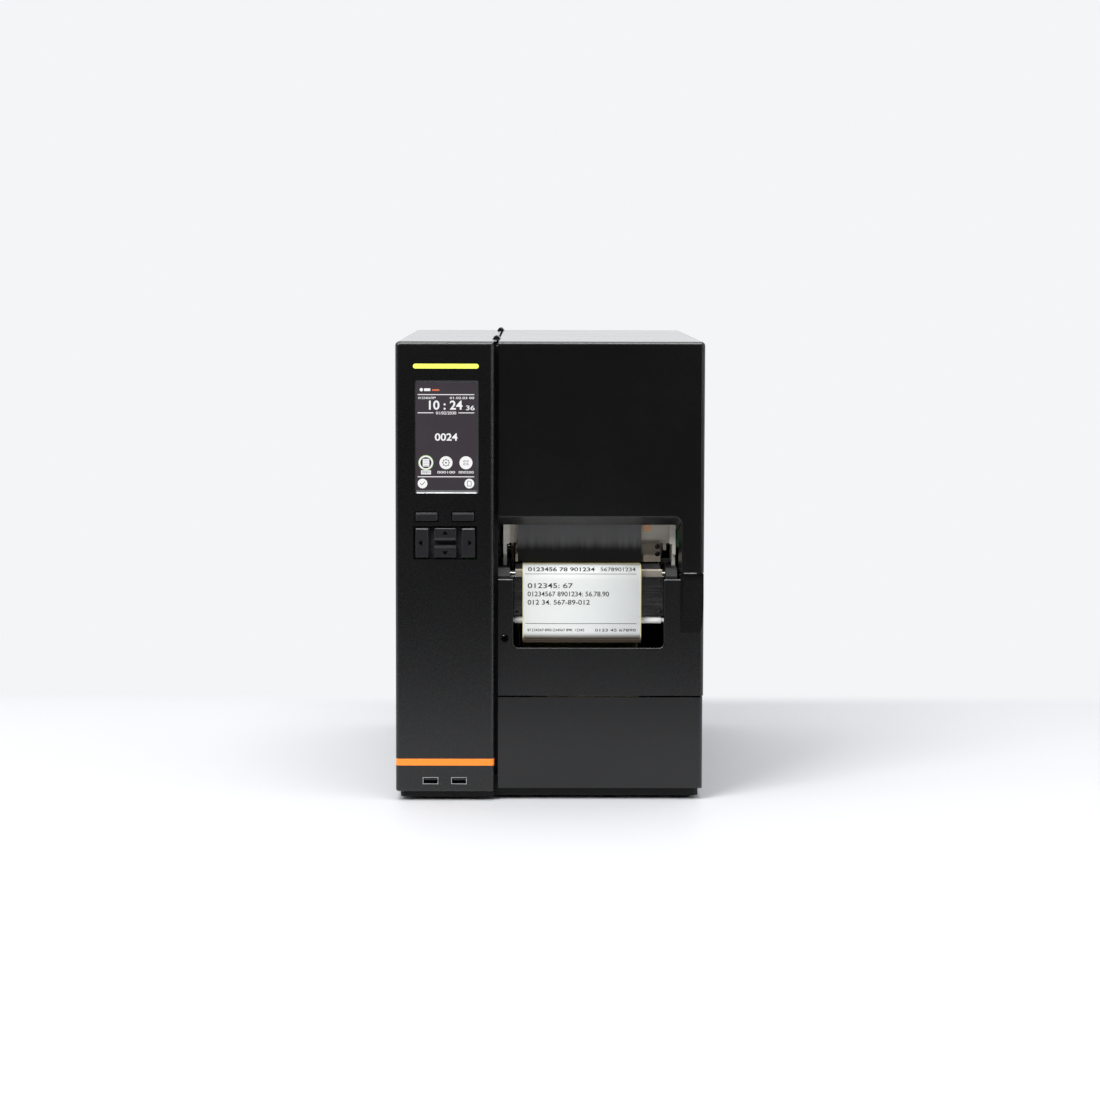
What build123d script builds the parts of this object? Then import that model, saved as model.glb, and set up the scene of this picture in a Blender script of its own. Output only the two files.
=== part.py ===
from build123d import *
import math
import os

os.makedirs("parts", exist_ok=True)

# Industrial label printer for four inch labels, with an inner rewinder.
# Millimetres. +X is to the right seen from the front, the front faces -Y, +Z is up.
# The origin is at the bottom centre of the cabinet, on the surface it stands on.

# Cabinet
cabinet_width = 276.0
cabinet_depth = 502.0
cabinet_height = 412.0
column_width = 88.0
column_proud = 8.0
column_bottom_z = 8.5
main_bottom_z = 10.6
edge_radius = 3.5
wall_thickness = 3.5
cover_sheet = 1.5
moulding_wall = 3.0
door_sheet = 2.0
seat_gap = 0.3
cut_overrun = 5.0
rear_trim = 1.5

left_x = -cabinet_width / 2
right_x = cabinet_width / 2
front_y = -cabinet_depth / 2
rear_y = cabinet_depth / 2
top_z = cabinet_height
column_right_x = left_x + column_width
bay_left_x = column_right_x + wall_thickness
main_front_y = front_y + column_proud
panel_rear_y = rear_y - rear_trim
panel_front_y = panel_rear_y - cover_sheet

# Base pan and feet
foot_height = 3.0
foot_radius = 11.0
foot_taper = 1.5
foot_inset = 16.0
pan_inset = 4.0
pan_front_setback = 7.0
pan_sheet = 2.0
pan_wall_height = 17.0
pan_edge_radius = 5.0
side_inset = 0.6

# Chassis wall
wall_top_drop = 4.5
wall_front_setback = 7.0
wall_window_width = 60.0
wall_window_height = 26.0
wall_window_radius = 8.0
wall_window_inset = 101.0
wall_window_y = rear_y - wall_window_inset
wall_window_z = 120.0

# Column front
bezel_depth = 15.0
bezel_side_wall = 2.5
bezel_ease = 1.8
trim_low_z = 32.1
trim_high_z = 38.2
trim_depth = 1.2
light_left_offset = 15.8
light_left_x = left_x + light_left_offset
light_right_offset = 74.3
light_right_x = left_x + light_right_offset
light_drop = 21.85
light_z = top_z - light_drop
light_height = 4.3
light_proud = 0.3
light_clearance = 0.1
light_flange = 2.0
screen_left_offset = 17.3
screen_left_x = left_x + screen_left_offset
screen_right_offset = 74.3
screen_right_x = left_x + screen_right_offset
screen_low_drop = 135.2
screen_low_z = top_z - screen_low_drop
screen_high_drop = 34.3
screen_high_z = top_z - screen_high_drop
screen_corner_radius = 2.5
screen_depth = 1.8
screen_clearance = 0.1
screen_side_border = 0.4
active_left_offset = 18.0
active_left_x = left_x + active_left_offset
active_right_offset = 72.1
active_right_x = left_x + active_right_offset
active_low_drop = 132.6
active_low_z = top_z - active_low_drop
active_high_drop = 36.8
active_high_z = top_z - active_high_drop
active_radius = 0.8
glass_thickness = 1.8
display_depth = 5.6
display_margin = 1.0
board_thickness = 1.6
board_margin = 4.6
boss_radius = 2.0

# Keys
key_travel = 0.8
key_gap = 0.35
key_proud = 1.0
key_edge = 0.6
key_flange = 1.5
key_flange_thickness = 1.0
key_stem = 4.0
switch_gap = 0.2
soft_key_low_drop = 159.7
soft_key_low_z = top_z - soft_key_low_drop
soft_key_high_drop = 152.1
soft_key_high_z = top_z - soft_key_high_drop
soft_left_offset = 18.2
soft_left_x = left_x + soft_left_offset
soft_left_width = 19.3
soft_right_offset = 50.8
soft_right_x = left_x + soft_right_offset
soft_right_width = 19.3
pad_left_offset = 16.8
pad_left_x = left_x + pad_left_offset
pad_right_offset = 71.9
pad_right_x = left_x + pad_right_offset
pad_low_drop = 193.5
pad_low_z = top_z - pad_low_drop
pad_high_drop = 165.0
pad_high_z = top_z - pad_high_drop
pad_radius = 2.0
pad_key_inset = 1.2
side_key_width = 11.3
middle_key_width = 19.4
middle_key_height = 10.8
key_ramp_depth = 0.8
select_ramp = 1.8
side_ramp = 1.2
middle_ramp = 2.4
ledge_height = 1.2
ledge_setback = 0.3

# Front data sockets
usb_width = 13.9
usb_height = 6.3
usb_depth = 14.0
usb_shell = 0.5
usb_z = 18.35
usb_left_offset = 31.1
usb_left_x = left_x + usb_left_offset
usb_right_offset = 56.6
usb_right_x = left_x + usb_right_offset
usb_clearance = 0.25
tongue_thickness = 1.8
tongue_width = 11.5
tongue_setback = 1.5

# Media door
door_front_low_z = 205.4
door_side_low_z = 94.4
door_corner_gap = 1.5
door_rear_gap = 1.5
door_flange = 14.0
chute_right_inset = 22.7
chute_right_x = right_x - chute_right_inset
chute_top_z = 247.9
chute_bevel_side = 2.7
chute_bevel_top = 7.9
chute_radius = 5.0
chute_outer_radius = 7.0
chute_depth = 8.0
chute_lip = 5.0
chute_ease = 0.8
window_low_z = 165.0
window_high_drop = 47.0
window_high_z = top_z - window_high_drop
window_front_setback = 101.0
window_front_y = front_y + window_front_setback
window_rear_inset = 101.0
window_rear_y = rear_y - window_rear_inset
window_radius = 14.0
pane_thickness = 2.5
pane_lap = 7.0
pane_gap = 0.2

# Hinges
hinge_offset = 1.0
hinge_x = column_right_x + hinge_offset
hinge_length = 40.0
hinge_front_setback = 85.0
hinge_front_y = front_y + hinge_front_setback
hinge_rear_inset = 49.0
hinge_rear_y = rear_y - hinge_rear_inset
knuckle_radius = 3.2
hinge_pin_radius = 1.5
hinge_bore_gap = 0.05
knuckle_gap = 0.3
leaf_thickness = 1.5
door_leaf_length = 22.0
frame_leaf_length = 16.0
hinge_relief = 0.6
top_seam = 1.7

# Lower front cover and bottom cover
seam_low_z = 92.9
seam_high_z = 94.4
lower_cover_top_z = 204.0
cover_return = 26.0
cover_window_left_offset = 17.2
cover_window_left_x = column_right_x + cover_window_left_offset
cover_window_right_inset = 35.9
cover_window_right_x = right_x - cover_window_right_inset
cover_window_low_z = 137.6
cover_window_radius = 4.5
ear_top_z = 200.0
ear_right_inset = 21.0
ear_right_x = right_x - ear_right_inset
scoop_low_z = 151.7
scoop_depth = 5.5
scoop_backing = 4.0
cover_ease = 0.9
ear_ease = 2.4
screw_hole_offset = 9.5
screw_hole_x = column_right_x + screw_hole_offset
screw_hole_z = 146.2
screw_hole_radius = 4.2
screw_hole_depth = 1.8

# Print frame: cheeks and beams that carry the platen
cheek_left_width = 10.5
cheek_right_inset = 34.0
cheek_right_x = right_x - cheek_right_inset
cheek_right_width = 10.0
cheek_low_z = 100.0
cheek_top_z = 209.0
cheek_rear_setback = 115.0
cheek_rear_y = front_y + cheek_rear_setback
cheek_front_low_z = 150.0
cheek_nose_setback = 7.0
beam_front_thickness = 6.0
beam_front_high_z = 128.0
beam_front_low_z = 104.0
beam_mid_rear_setback = 57.0
beam_mid_rear_y = front_y + beam_mid_rear_setback
beam_mid_front_setback = 46.5
beam_mid_front_y = front_y + beam_mid_front_setback
beam_mid_low_z = 164.0
beam_mid_high_z = 186.0
beam_rear_front_setback = 99.0
beam_rear_front_y = front_y + beam_rear_front_setback
beam_rear_low_z = 176.0
beam_rear_high_z = 194.0

# Platen and its drive
platen_setback = 37.0
platen_y = front_y + platen_setback
platen_z = 201.0
platen_radius = 10.0
platen_left_offset = 19.0
platen_left_x = column_right_x + platen_left_offset
platen_right_inset = 39.0
platen_right_x = right_x - platen_right_inset
platen_shaft_radius = 4.0
running_gap = 0.05
bush_radius = 7.0
bush_flange_radius = 10.0
bush_flange = 1.5
pulley_reach = 10.0
pulley_left_x = column_right_x - pulley_reach
pulley_width = 8.0
pulley_rim = 1.0
pulley_wall_gap = 0.5
platen_pulley_radius = 15.0
motor_pulley_radius = 7.5
motor_setback = 101.0
motor_y = front_y + motor_setback
motor_z = 160.0
motor_side = 56.0
motor_length = 46.0
motor_corner = 5.0
motor_shaft_radius = 2.5
motor_boss_radius = 19.0
motor_boss = 1.6
motor_post_radius = 4.0
motor_post_circle = 33.0
belt_thickness = 1.2
belt_gap = 0.3

# Tear bar, guide plate and guide bar
tear_left_offset = 19.0
tear_left_x = column_right_x + tear_left_offset
tear_right_inset = 37.0
tear_right_x = right_x - tear_right_inset
tear_low_z = 200.9
tear_high_z = 207.4
tear_front_setback = 20.0
tear_front_y = front_y + tear_front_setback
tear_rear_setback = 25.0
tear_rear_y = front_y + tear_rear_setback
tear_land = 1.2
guide_left_offset = 17.9
guide_left_x = column_right_x + guide_left_offset
guide_right_inset = 36.2
guide_right_x = right_x - guide_right_inset
guide_low_z = 165.9
guide_front_setback = 16.0
guide_front_y = front_y + guide_front_setback
guide_sheet = 1.2
guide_return_drop = 6.0
guide_bar_radius = 3.1
guide_bar_setback = 20.0
guide_bar_y = front_y + guide_bar_setback
guide_bar_z = 161.7
guide_journal_radius = 2.0
guide_bar_left_offset = 18.3
guide_bar_left_x = column_right_x + guide_bar_left_offset
guide_bar_right_inset = 37.9
guide_bar_right_x = right_x - guide_bar_right_inset

# Print head
head_pivot_setback = 101.0
head_pivot_y = front_y + head_pivot_setback
head_pivot_z = 202.0
head_pin_radius = 3.0
head_side_sheet = 3.0
head_frame_left_offset = 8.0
head_frame_left_x = column_right_x + head_frame_left_offset
head_frame_right_inset = 27.5
head_frame_right_x = right_x - head_frame_right_inset
head_frame_front_setback = 35.0
head_frame_front_y = front_y + head_frame_front_setback
head_frame_rear_setback = 85.0
head_frame_rear_y = front_y + head_frame_rear_setback
head_frame_leg_z = 229.0
head_leg_low_z = 219.5
head_leg_setback = 9.0
head_flange = 5.5
head_flange_sheet = 2.0
latch_setback = 71.0
latch_y = front_y + latch_setback
latch_z = 256.0
head_frame_rise = 16.0
head_frame_top_z = latch_z + head_frame_rise
latch_radius = 4.0
latch_end = 2.0
cam_reach = 8.6
cam_hub = 1.0
cam_width = 8.0
cam_inset = 6.0
lever_inset = 20.0
lever_x = right_x - lever_inset
lever_width = 8.0
lever_hub_radius = 9.0
lever_length = 62.0
lever_tip_radius = 6.0
carrier_left_offset = 12.5
carrier_left_x = column_right_x + carrier_left_offset
carrier_right_inset = 29.5
carrier_right_x = right_x - carrier_right_inset
carrier_sheet = 2.0
carrier_front_setback = 46.0
carrier_front_y = front_y + carrier_front_setback
carrier_low_z = 229.0
carrier_top_z = 246.0
carrier_tab_inset = 3.1
carrier_tab_width = 2.8
carrier_tab_drop = 6.5
carrier_rear_setback = 79.0
carrier_rear_y = front_y + carrier_rear_setback
arm_end_radius = 8.0
arm_left_offset = 15.0
arm_left_x = column_right_x + arm_left_offset
arm_right_inset = 35.5
arm_right_x = right_x - arm_right_inset
head_left_offset = 19.0
head_left_x = column_right_x + head_left_offset
head_right_inset = 38.0
head_right_x = right_x - head_right_inset
head_bottom_z = 212.6
head_step_z = 217.0
head_front_setback = 40.5
head_front_y = front_y + head_front_setback
head_rear_setback = 61.0
head_rear_y = front_y + head_rear_setback
head_contact = 5.0
head_cap_chamfer = 2.0
head_fin_width = 3.0
sensor_width = 20.0
sensor_height = 24.0
sensor_low_z = 226.0
sensor_front_setback = 38.0
sensor_front_y = front_y + sensor_front_setback
sensor_standoff = 1.5

# Ribbon path
ribbon_supply_share = 0.588
ribbon_rewind_share = 0.611
film_thickness = 0.3
film_left_offset = 21.1
film_left_x = column_right_x + film_left_offset
film_right_inset = 55.3
film_right_x = right_x - film_right_inset
nip_film_gap = 0.1
nip_tip_radius = 3.0
nip_tip_setback = 38.0
nip_tip_y = front_y + nip_tip_setback
front_bar_setback = 47.5
front_bar_y = front_y + front_bar_setback
front_bar_z = 263.0
rear_bar_setback = 79.0
rear_bar_y = front_y + rear_bar_setback
rear_bar_z = 219.0
ribbon_bar_radius = 4.0
bar_ear = 9.0
ribbon_rewind_setback = 101.0
ribbon_rewind_y = front_y + ribbon_rewind_setback
ribbon_rewind_z = platen_z + (top_z - platen_z) * ribbon_rewind_share
ribbon_rewind_radius = 20.0
ribbon_supply_setback = 206.0
ribbon_supply_y = front_y + ribbon_supply_setback
ribbon_supply_z = platen_z + (top_z - platen_z) * ribbon_supply_share
ribbon_supply_radius = 36.0
ribbon_core_radius = 12.7
ribbon_core_wall = 2.0
spindle_shaft_radius = 5.0
spindle_end_inset = 46.0
spindle_end_x = right_x - spindle_end_inset
spindle_fin = 0.9
fin_clearance = 0.15
spindle_fin_width = 3.0
spindle_fin_count = 3
spindle_collar_radius = 17.0
spindle_collar = 2.5
spindle_nose = 2.0

# Spindle motors in the column
gearbox_radius = 20.0
gearbox_length = 18.0
motor_can_radius = 15.0
motor_can_length = 34.0
gearbox_post_radius = 3.0
gearbox_post_circle = 14.0
gearbox_post_count = 3
gearbox_standoff = 4.0
shaft_into_gearbox = 8.0

# Labels
web_thickness = 0.3
web_left_offset = 25.5
web_left_x = column_right_x + web_left_offset
web_right_inset = 56.2
web_right_x = right_x - web_right_inset
label_roll_inset = 121.0
label_roll_y = rear_y - label_roll_inset
label_roll_z = 205.0
label_roll_radius = 90.0
label_core_radius = 38.0
supply_bar_radius = 18.0
supply_bar_end_inset = 39.0
supply_bar_end_x = right_x - supply_bar_end_inset
supply_flange_radius = 34.0
supply_flange = 3.0
supply_hub_radius = 30.0
guard_radius = 46.0
guard_thickness = 3.0
guard_collar_radius = 24.0
guard_collar = 10.0
front_bend_radius = 13.0
bottom_bend_radius = 9.0
web_hang_setback = 7.6
web_hang_y = front_y + web_hang_setback
web_bottom_z = 141.0
damper_pivot_setback = 211.0
damper_pivot_y = front_y + damper_pivot_setback
damper_pivot_z = 238.0
damper_bar_setback = 181.0
damper_bar_y = front_y + damper_bar_setback
damper_bar_z = 212.0
damper_bar_radius = 5.0
damper_arm_left_offset = 6.0
damper_arm_left_x = column_right_x + damper_arm_left_offset
damper_arm_sheet = 4.0
damper_arm_radius = 8.0
damper_pin_radius = 4.0
damper_end_inset = 46.0
damper_end_x = right_x - damper_end_inset
rewind_setback = 111.0
rewind_y = front_y + rewind_setback
rewind_z = 88.0
rewind_radius = 42.0
rewind_hub_radius = 22.0
rewind_disc_radius = 60.0
rewind_disc_offset = 20.0
rewind_disc_x = column_right_x + rewind_disc_offset
rewind_slot = 2.0
guide_slide_width = 2.0
guide_slide_height = 26.0
guide_slide_length = 34.0
guide_shoe_width = 16.0
guide_shoe_wall = 3.0

# Rear panel and electronics
vent_slot_width = 3.0
vent_slot_length = 44.0
vent_pitch = 8.0
vent_count = 9
vent_offset = 45.0
vent_x = left_x + vent_offset
vent_drop = 32.0
vent_z = top_z - vent_drop
side_vent_inset = 76.0
side_vent_y = rear_y - side_vent_inset
side_vent_z = 70.0
fan_slot_height = 9.0
fan_slot_z = 60.0
fan_slot_left_offset = 18.0
fan_slot_left_x = column_right_x + fan_slot_left_offset
fan_slot_right_inset = 46.0
fan_slot_right_x = right_x - fan_slot_right_inset
inlet_offset = 30.0
inlet_x = left_x + inlet_offset
inlet_z = 52.0
inlet_width = 27.0
inlet_height = 20.0
inlet_flange = 2.0
inlet_flange_thickness = 0.8
inlet_depth = 26.0
inlet_wall = 1.8
inlet_cavity = 15.0
inlet_pin_width = 2.0
inlet_pin_height = 4.0
inlet_pin_spacing = 14.0
inlet_pin_offset = 3.5
inlet_pin_setback = 3.0
rocker_offset = 64.0
rocker_x = left_x + rocker_offset
rocker_width = 12.5
rocker_height = 15.6
rocker_reach = 4.0
rocker_hollow = 1.0
rocker_angle = 8.0
rocker_depth = 9.0
rocker_pin_radius = 1.5
rocker_frame_width = 17.0
rocker_wall = 1.6
supply_box_left_offset = 8.0
supply_box_left_x = left_x + supply_box_left_offset
supply_box_right_offset = 72.0
supply_box_right_x = left_x + supply_box_right_offset
supply_box_front_setback = 271.0
supply_box_front_y = front_y + supply_box_front_setback
supply_box_rear_inset = 46.0
supply_box_rear_y = rear_y - supply_box_rear_inset
supply_box_height = 66.0
supply_vent_count = 12
main_board_front_setback = 271.0
main_board_front_y = front_y + main_board_front_setback
main_board_rear_inset = 19.0
main_board_rear_y = rear_y - main_board_rear_inset
main_board_low_z = 170.0
main_board_high_drop = 32.0
main_board_high_z = top_z - main_board_high_drop
main_board_standoff = 6.0
standoff_radius = 3.0
heat_sink_depth = 14.0
heat_sink_height = 40.0
heat_sink_length = 50.0
heat_sink_fins = 6
network_drop = 72.0
network_z = top_z - network_drop
network_width = 16.0
network_height = 13.5
network_depth = 21.0
network_wall = 2.0
network_cavity = 12.0
device_drop = 107.0
device_z = top_z - device_drop
device_width = 12.0
device_height = 11.0
serial_drop = 150.0
serial_z = top_z - serial_drop
serial_height = 31.0
serial_width = 12.5
connector_gap = 0.4

# Shares: proportions of the sizes that they follow
middle_share = 0.5
cam_tip_share = 0.375
lever_waist_share = 0.6


def facing_front(y):
    """Give the upright plane at a y place, seen from the front."""
    return Plane.XZ.offset(-y)


def facing_right(x):
    """Give the upright plane at an x place, with Y to its right and Z up."""
    return Plane.YZ.offset(x)


def at_height(z):
    """Give the level plane at a height."""
    return Plane.XY.offset(z)


def middle(low, high):
    """Give the place half way between two places."""
    return (low + high) / 2


def block(xs, ys, zs, mode=Mode.ADD):
    """Add or cut a block between two places along each axis."""
    with Locations((middle(*xs), middle(*ys), middle(*zs))):
        Box(xs[1] - xs[0], ys[1] - ys[0], zs[1] - zs[0], mode=mode)


def rod(xs, y, z, radius, mode=Mode.ADD):
    """Add or cut a round rod along X between two places."""
    with BuildSketch(facing_right(xs[0])) as profile:
        with Locations((y, z)):
            Circle(radius)
    extrude(profile.sketch, amount=xs[1] - xs[0], mode=mode)


def tube(xs, y, z, radius, bore):
    """Add a round tube along X between two places."""
    with BuildSketch(facing_right(xs[0])) as profile:
        with Locations((y, z)):
            Circle(radius)
            Circle(bore, mode=Mode.SUBTRACT)
    extrude(profile.sketch, amount=xs[1] - xs[0])


def headings(circles):
    """Give the direction of each straight run between two circles that a band passes.

    Each circle is its centre, its radius and its side: 1 where the band passes on the left
    of the centre, seen along its travel, and -1 where it passes on the right.
    """
    runs = []
    for (y_a, z_a, r_a, s_a), (y_b, z_b, r_b, s_b) in zip(circles, circles[1:]):
        span = math.hypot(y_b - y_a, z_b - z_a)
        bearing = math.atan2(z_b - z_a, y_b - y_a)
        runs.append(bearing - math.asin((r_a * s_a - r_b * s_b) / span))
    return runs


def touch(circle, heading):
    """Give the point where a band with this heading touches a circle."""
    y, z, radius, side = circle
    return (y - side * radius * math.sin(heading), z + side * radius * math.cos(heading))


def between(first, last):
    """Give the heading half way between two headings, the short way round."""
    turn = math.remainder(last - first, 2 * math.pi)
    return first + turn / 2


def band_edge(circles):
    """Draw one edge of a band over its circles, and give its first and last points."""
    runs = headings(circles)
    points = []
    arcs = []
    last = len(circles) - 1
    for place, circle in enumerate(circles):
        arriving = runs[place - 1] if place else runs[0]
        leaving = runs[place] if place < last else runs[-1]
        start = touch(circle, arriving)
        end = touch(circle, leaving)
        points.append((start, end))
        if 0 < place < last:
            arcs.append((start, touch(circle, between(arriving, leaving)), end))
    for (_, start), (end, _) in zip(points, points[1:]):
        Line(start, end)
    for start, halfway, end in arcs:
        ThreePointArc(start, halfway, end)
    return points[0][1], points[-1][0]


def thickened(circles, side, thickness):
    """Give the circles that one edge of a band touches, its left edge for 1, its right for -1."""
    return [(y, z, radius + (thickness if turn == side else 0), turn) for y, z, radius, turn in circles]


def band(circles, xs, thickness):
    """Add a thin band of a given width that runs over circles in the upright plane."""
    with BuildSketch(facing_right(xs[0])) as profile:
        with BuildLine():
            left_start, left_end = band_edge(thickened(circles, 1, thickness))
            right_start, right_end = band_edge(thickened(circles, -1, thickness))
            Line(left_start, right_start)
            Line(left_end, right_end)
        make_face()
    extrude(profile.sketch, amount=xs[1] - xs[0])


def wrapped(wheel_a, wheel_b, mode=Mode.ADD):
    """Add or cut the face inside a band that is wrapped round two circles."""
    first = (*wheel_a, 1)
    second = (*wheel_b, 1)
    there, back = headings([first, second, first])
    over = between(there, back + math.pi)
    with BuildLine() as outline:
        Line(touch(first, there), touch(second, there))
        ThreePointArc(touch(second, there), touch(second, over - math.pi / 2), touch(second, back))
        Line(touch(second, back), touch(first, back))
        ThreePointArc(touch(first, back), touch(first, over + math.pi / 2), touch(first, there))
    make_face(outline.edges(), mode=mode)


# Base pan: a sheet steel tray with a flange that the covers meet
pan_low_z = foot_height
pan_high_z = pan_low_z + pan_sheet + pan_wall_height
pan_left_x = left_x + pan_inset
pan_right_x = right_x - pan_inset
pan_column_front_y = front_y + pan_inset + pan_sheet
pan_main_front_y = main_front_y + pan_front_setback
pan_rear_y = rear_y - pan_inset
usb_rear_y = front_y + usb_depth
bezel_rear_y = front_y + bezel_depth
usb_board_z = usb_z - usb_height / 2


def pan_outline(grow):
    """Draw the stepped outline of the tray, grown by a margin all round."""
    with Locations((middle(pan_left_x, column_right_x), middle(pan_column_front_y, pan_rear_y))):
        Rectangle(column_right_x - pan_left_x + 2 * grow, pan_rear_y - pan_column_front_y + 2 * grow)
    with Locations((middle(column_right_x, pan_right_x), middle(pan_main_front_y, pan_rear_y))):
        Rectangle(pan_right_x - column_right_x + 2 * grow, pan_rear_y - pan_main_front_y + 2 * grow)


with BuildPart() as base_pan:
    with BuildSketch(at_height(pan_low_z)):
        pan_outline(0)
    extrude(amount=pan_high_z - pan_low_z)
    with BuildSketch(at_height(pan_low_z + pan_sheet)):
        pan_outline(-pan_sheet)
        with Locations((column_right_x, middle(pan_main_front_y, pan_rear_y))):
            Rectangle(4 * pan_sheet, pan_rear_y - pan_main_front_y - 2 * pan_sheet)
    extrude(amount=pan_high_z - pan_low_z, mode=Mode.SUBTRACT)
    pan_corners = edges().filter_by(Axis.Z).filter_by(
        lambda edge: abs(edge.center().X) > abs(pan_left_x) - pan_sheet * middle_share
    )
    fillet(pan_corners.filter_by(lambda edge: edge.length > pan_wall_height + pan_sheet * middle_share),
           pan_edge_radius)
    with BuildSketch(at_height(pan_high_z - pan_sheet)):
        with Locations((middle(left_x + cover_sheet, column_right_x),
                        middle(front_y + moulding_wall, panel_front_y))):
            Rectangle(column_right_x - left_x - cover_sheet, panel_front_y - front_y - moulding_wall)
        with Locations((middle(column_right_x, right_x - side_inset - cover_sheet),
                        middle(main_front_y + moulding_wall, panel_front_y))):
            Rectangle(right_x - side_inset - cover_sheet - column_right_x,
                      panel_front_y - main_front_y - moulding_wall)
        with Locations((middle(pan_left_x, column_right_x), middle(pan_column_front_y, pan_rear_y))):
            Rectangle(column_right_x - pan_left_x - 2 * pan_sheet,
                      pan_rear_y - pan_column_front_y - 2 * pan_sheet, mode=Mode.SUBTRACT)
        with Locations((middle(column_right_x, pan_right_x), middle(pan_main_front_y, pan_rear_y))):
            Rectangle(pan_right_x - column_right_x - 2 * pan_sheet,
                      pan_rear_y - pan_main_front_y - 2 * pan_sheet, mode=Mode.SUBTRACT)
        with Locations((column_right_x, middle(pan_main_front_y, pan_rear_y))):
            Rectangle(4 * pan_sheet, pan_rear_y - pan_main_front_y - 2 * pan_sheet, mode=Mode.SUBTRACT)
    extrude(amount=pan_sheet)
    block((usb_left_x - usb_width, usb_right_x + usb_width), (front_y, usb_rear_y + pan_sheet),
          (usb_board_z - 2 * board_thickness, pan_high_z + cut_overrun), Mode.SUBTRACT)
    for wall_xs in ((left_x, left_x + bezel_side_wall), (column_right_x - bezel_side_wall, column_right_x)):
        block(wall_xs, (front_y, bezel_rear_y), (column_bottom_z, pan_high_z + cut_overrun), Mode.SUBTRACT)
base_pan.part.label = "base_pan"

with BuildPart() as feet:
    with Locations((0, middle(pan_main_front_y, pan_rear_y))):
        with GridLocations(pan_right_x - pan_left_x - 2 * foot_inset,
                           pan_rear_y - pan_main_front_y - 2 * foot_inset, 2, 2):
            Cone(foot_radius - foot_taper, foot_radius, foot_height,
                 align=(Align.CENTER, Align.CENTER, Align.MIN))
feet.part.label = "feet"

# Chassis wall: the upright plate between the electronics and the media bay
wall_front_y = main_front_y + wall_front_setback
wall_low_z = pan_low_z + pan_sheet
wall_high_z = top_z - wall_top_drop
spindle_places = (
    (ribbon_rewind_y, ribbon_rewind_z),
    (ribbon_supply_y, ribbon_supply_z),
    (rewind_y, rewind_z),
)
with BuildPart() as chassis_wall:
    with BuildSketch(facing_right(column_right_x)):
        with Locations((middle(wall_front_y, panel_front_y), middle(wall_low_z, wall_high_z))):
            Rectangle(panel_front_y - wall_front_y, wall_high_z - wall_low_z)
        with Locations((wall_front_y, wall_low_z)):
            Rectangle(2 * pan_sheet + 2 * (wall_front_y - pan_main_front_y),
                      2 * (pan_high_z - wall_low_z), mode=Mode.SUBTRACT)
        with Locations((panel_front_y, wall_low_z)):
            Rectangle(2 * (panel_front_y - pan_rear_y + pan_sheet), 2 * (pan_high_z - wall_low_z),
                      mode=Mode.SUBTRACT)
        with Locations(*spindle_places, (platen_y, platen_z)):
            Circle(bush_radius, mode=Mode.SUBTRACT)
        with Locations((wall_window_y, wall_window_z)):
            RectangleRounded(wall_window_width, wall_window_height, wall_window_radius, mode=Mode.SUBTRACT)
    extrude(amount=wall_thickness)
    rod((bay_left_x, damper_arm_left_x + damper_arm_sheet + running_gap), damper_pivot_y, damper_pivot_z,
        damper_pin_radius)
chassis_wall.part.label = "chassis_wall"

# Bushes: one for each shaft that passes the wall, and one in each cheek for the platen
cheek_left_end_x = bay_left_x + cheek_left_width
cheek_right_end_x = cheek_right_x + cheek_right_width
with BuildPart() as shaft_bushes:
    for place_y, place_z in spindle_places:
        tube((column_right_x, bay_left_x), place_y, place_z, bush_radius, spindle_shaft_radius + running_gap)
        tube((bay_left_x, bay_left_x + bush_flange), place_y, place_z, bush_flange_radius,
             spindle_shaft_radius + running_gap)
    tube((column_right_x, cheek_left_end_x), platen_y, platen_z, bush_radius,
         platen_shaft_radius + running_gap)
    tube((cheek_right_x, cheek_right_end_x), platen_y, platen_z, bush_radius,
         platen_shaft_radius + running_gap)
shaft_bushes.part.label = "shaft_bushes"

# Electronics cover: left side and top in one folded sheet
cover_edge_x = bay_left_x - top_seam
hinge_spans = ((hinge_front_y, hinge_front_y + hinge_length), (hinge_rear_y, hinge_rear_y + hinge_length))
with BuildPart() as electronics_cover:
    with BuildSketch(facing_front(panel_front_y)) as cover_section:
        with BuildLine():
            Polyline((left_x, column_bottom_z), (left_x, top_z), (cover_edge_x, top_z),
                     (cover_edge_x, top_z - cover_sheet), (left_x + cover_sheet, top_z - cover_sheet),
                     (left_x + cover_sheet, column_bottom_z), close=True)
        make_face()
        fillet(vertices().sort_by_distance((left_x, top_z))[0], edge_radius)
        fillet(vertices().sort_by_distance((left_x + cover_sheet, top_z - cover_sheet))[0],
               edge_radius - cover_sheet)
    extrude(amount=panel_front_y - bezel_rear_y)
    for hinge_low_y, hinge_high_y in hinge_spans:
        block((hinge_x - knuckle_radius - hinge_relief, cover_edge_x + hinge_relief),
              (hinge_low_y - hinge_relief, hinge_high_y + hinge_relief),
              (top_z - cover_sheet - cut_overrun, top_z + cut_overrun), Mode.SUBTRACT)
    with BuildSketch(facing_right(left_x - cut_overrun)):
        with Locations((side_vent_y, side_vent_z)):
            with GridLocations(vent_pitch, vent_slot_length, vent_count, 1):
                SlotOverall(vent_slot_length, vent_slot_width, rotation=90)
    extrude(amount=2 * cut_overrun, mode=Mode.SUBTRACT)
electronics_cover.part.label = "electronics_cover"

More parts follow.
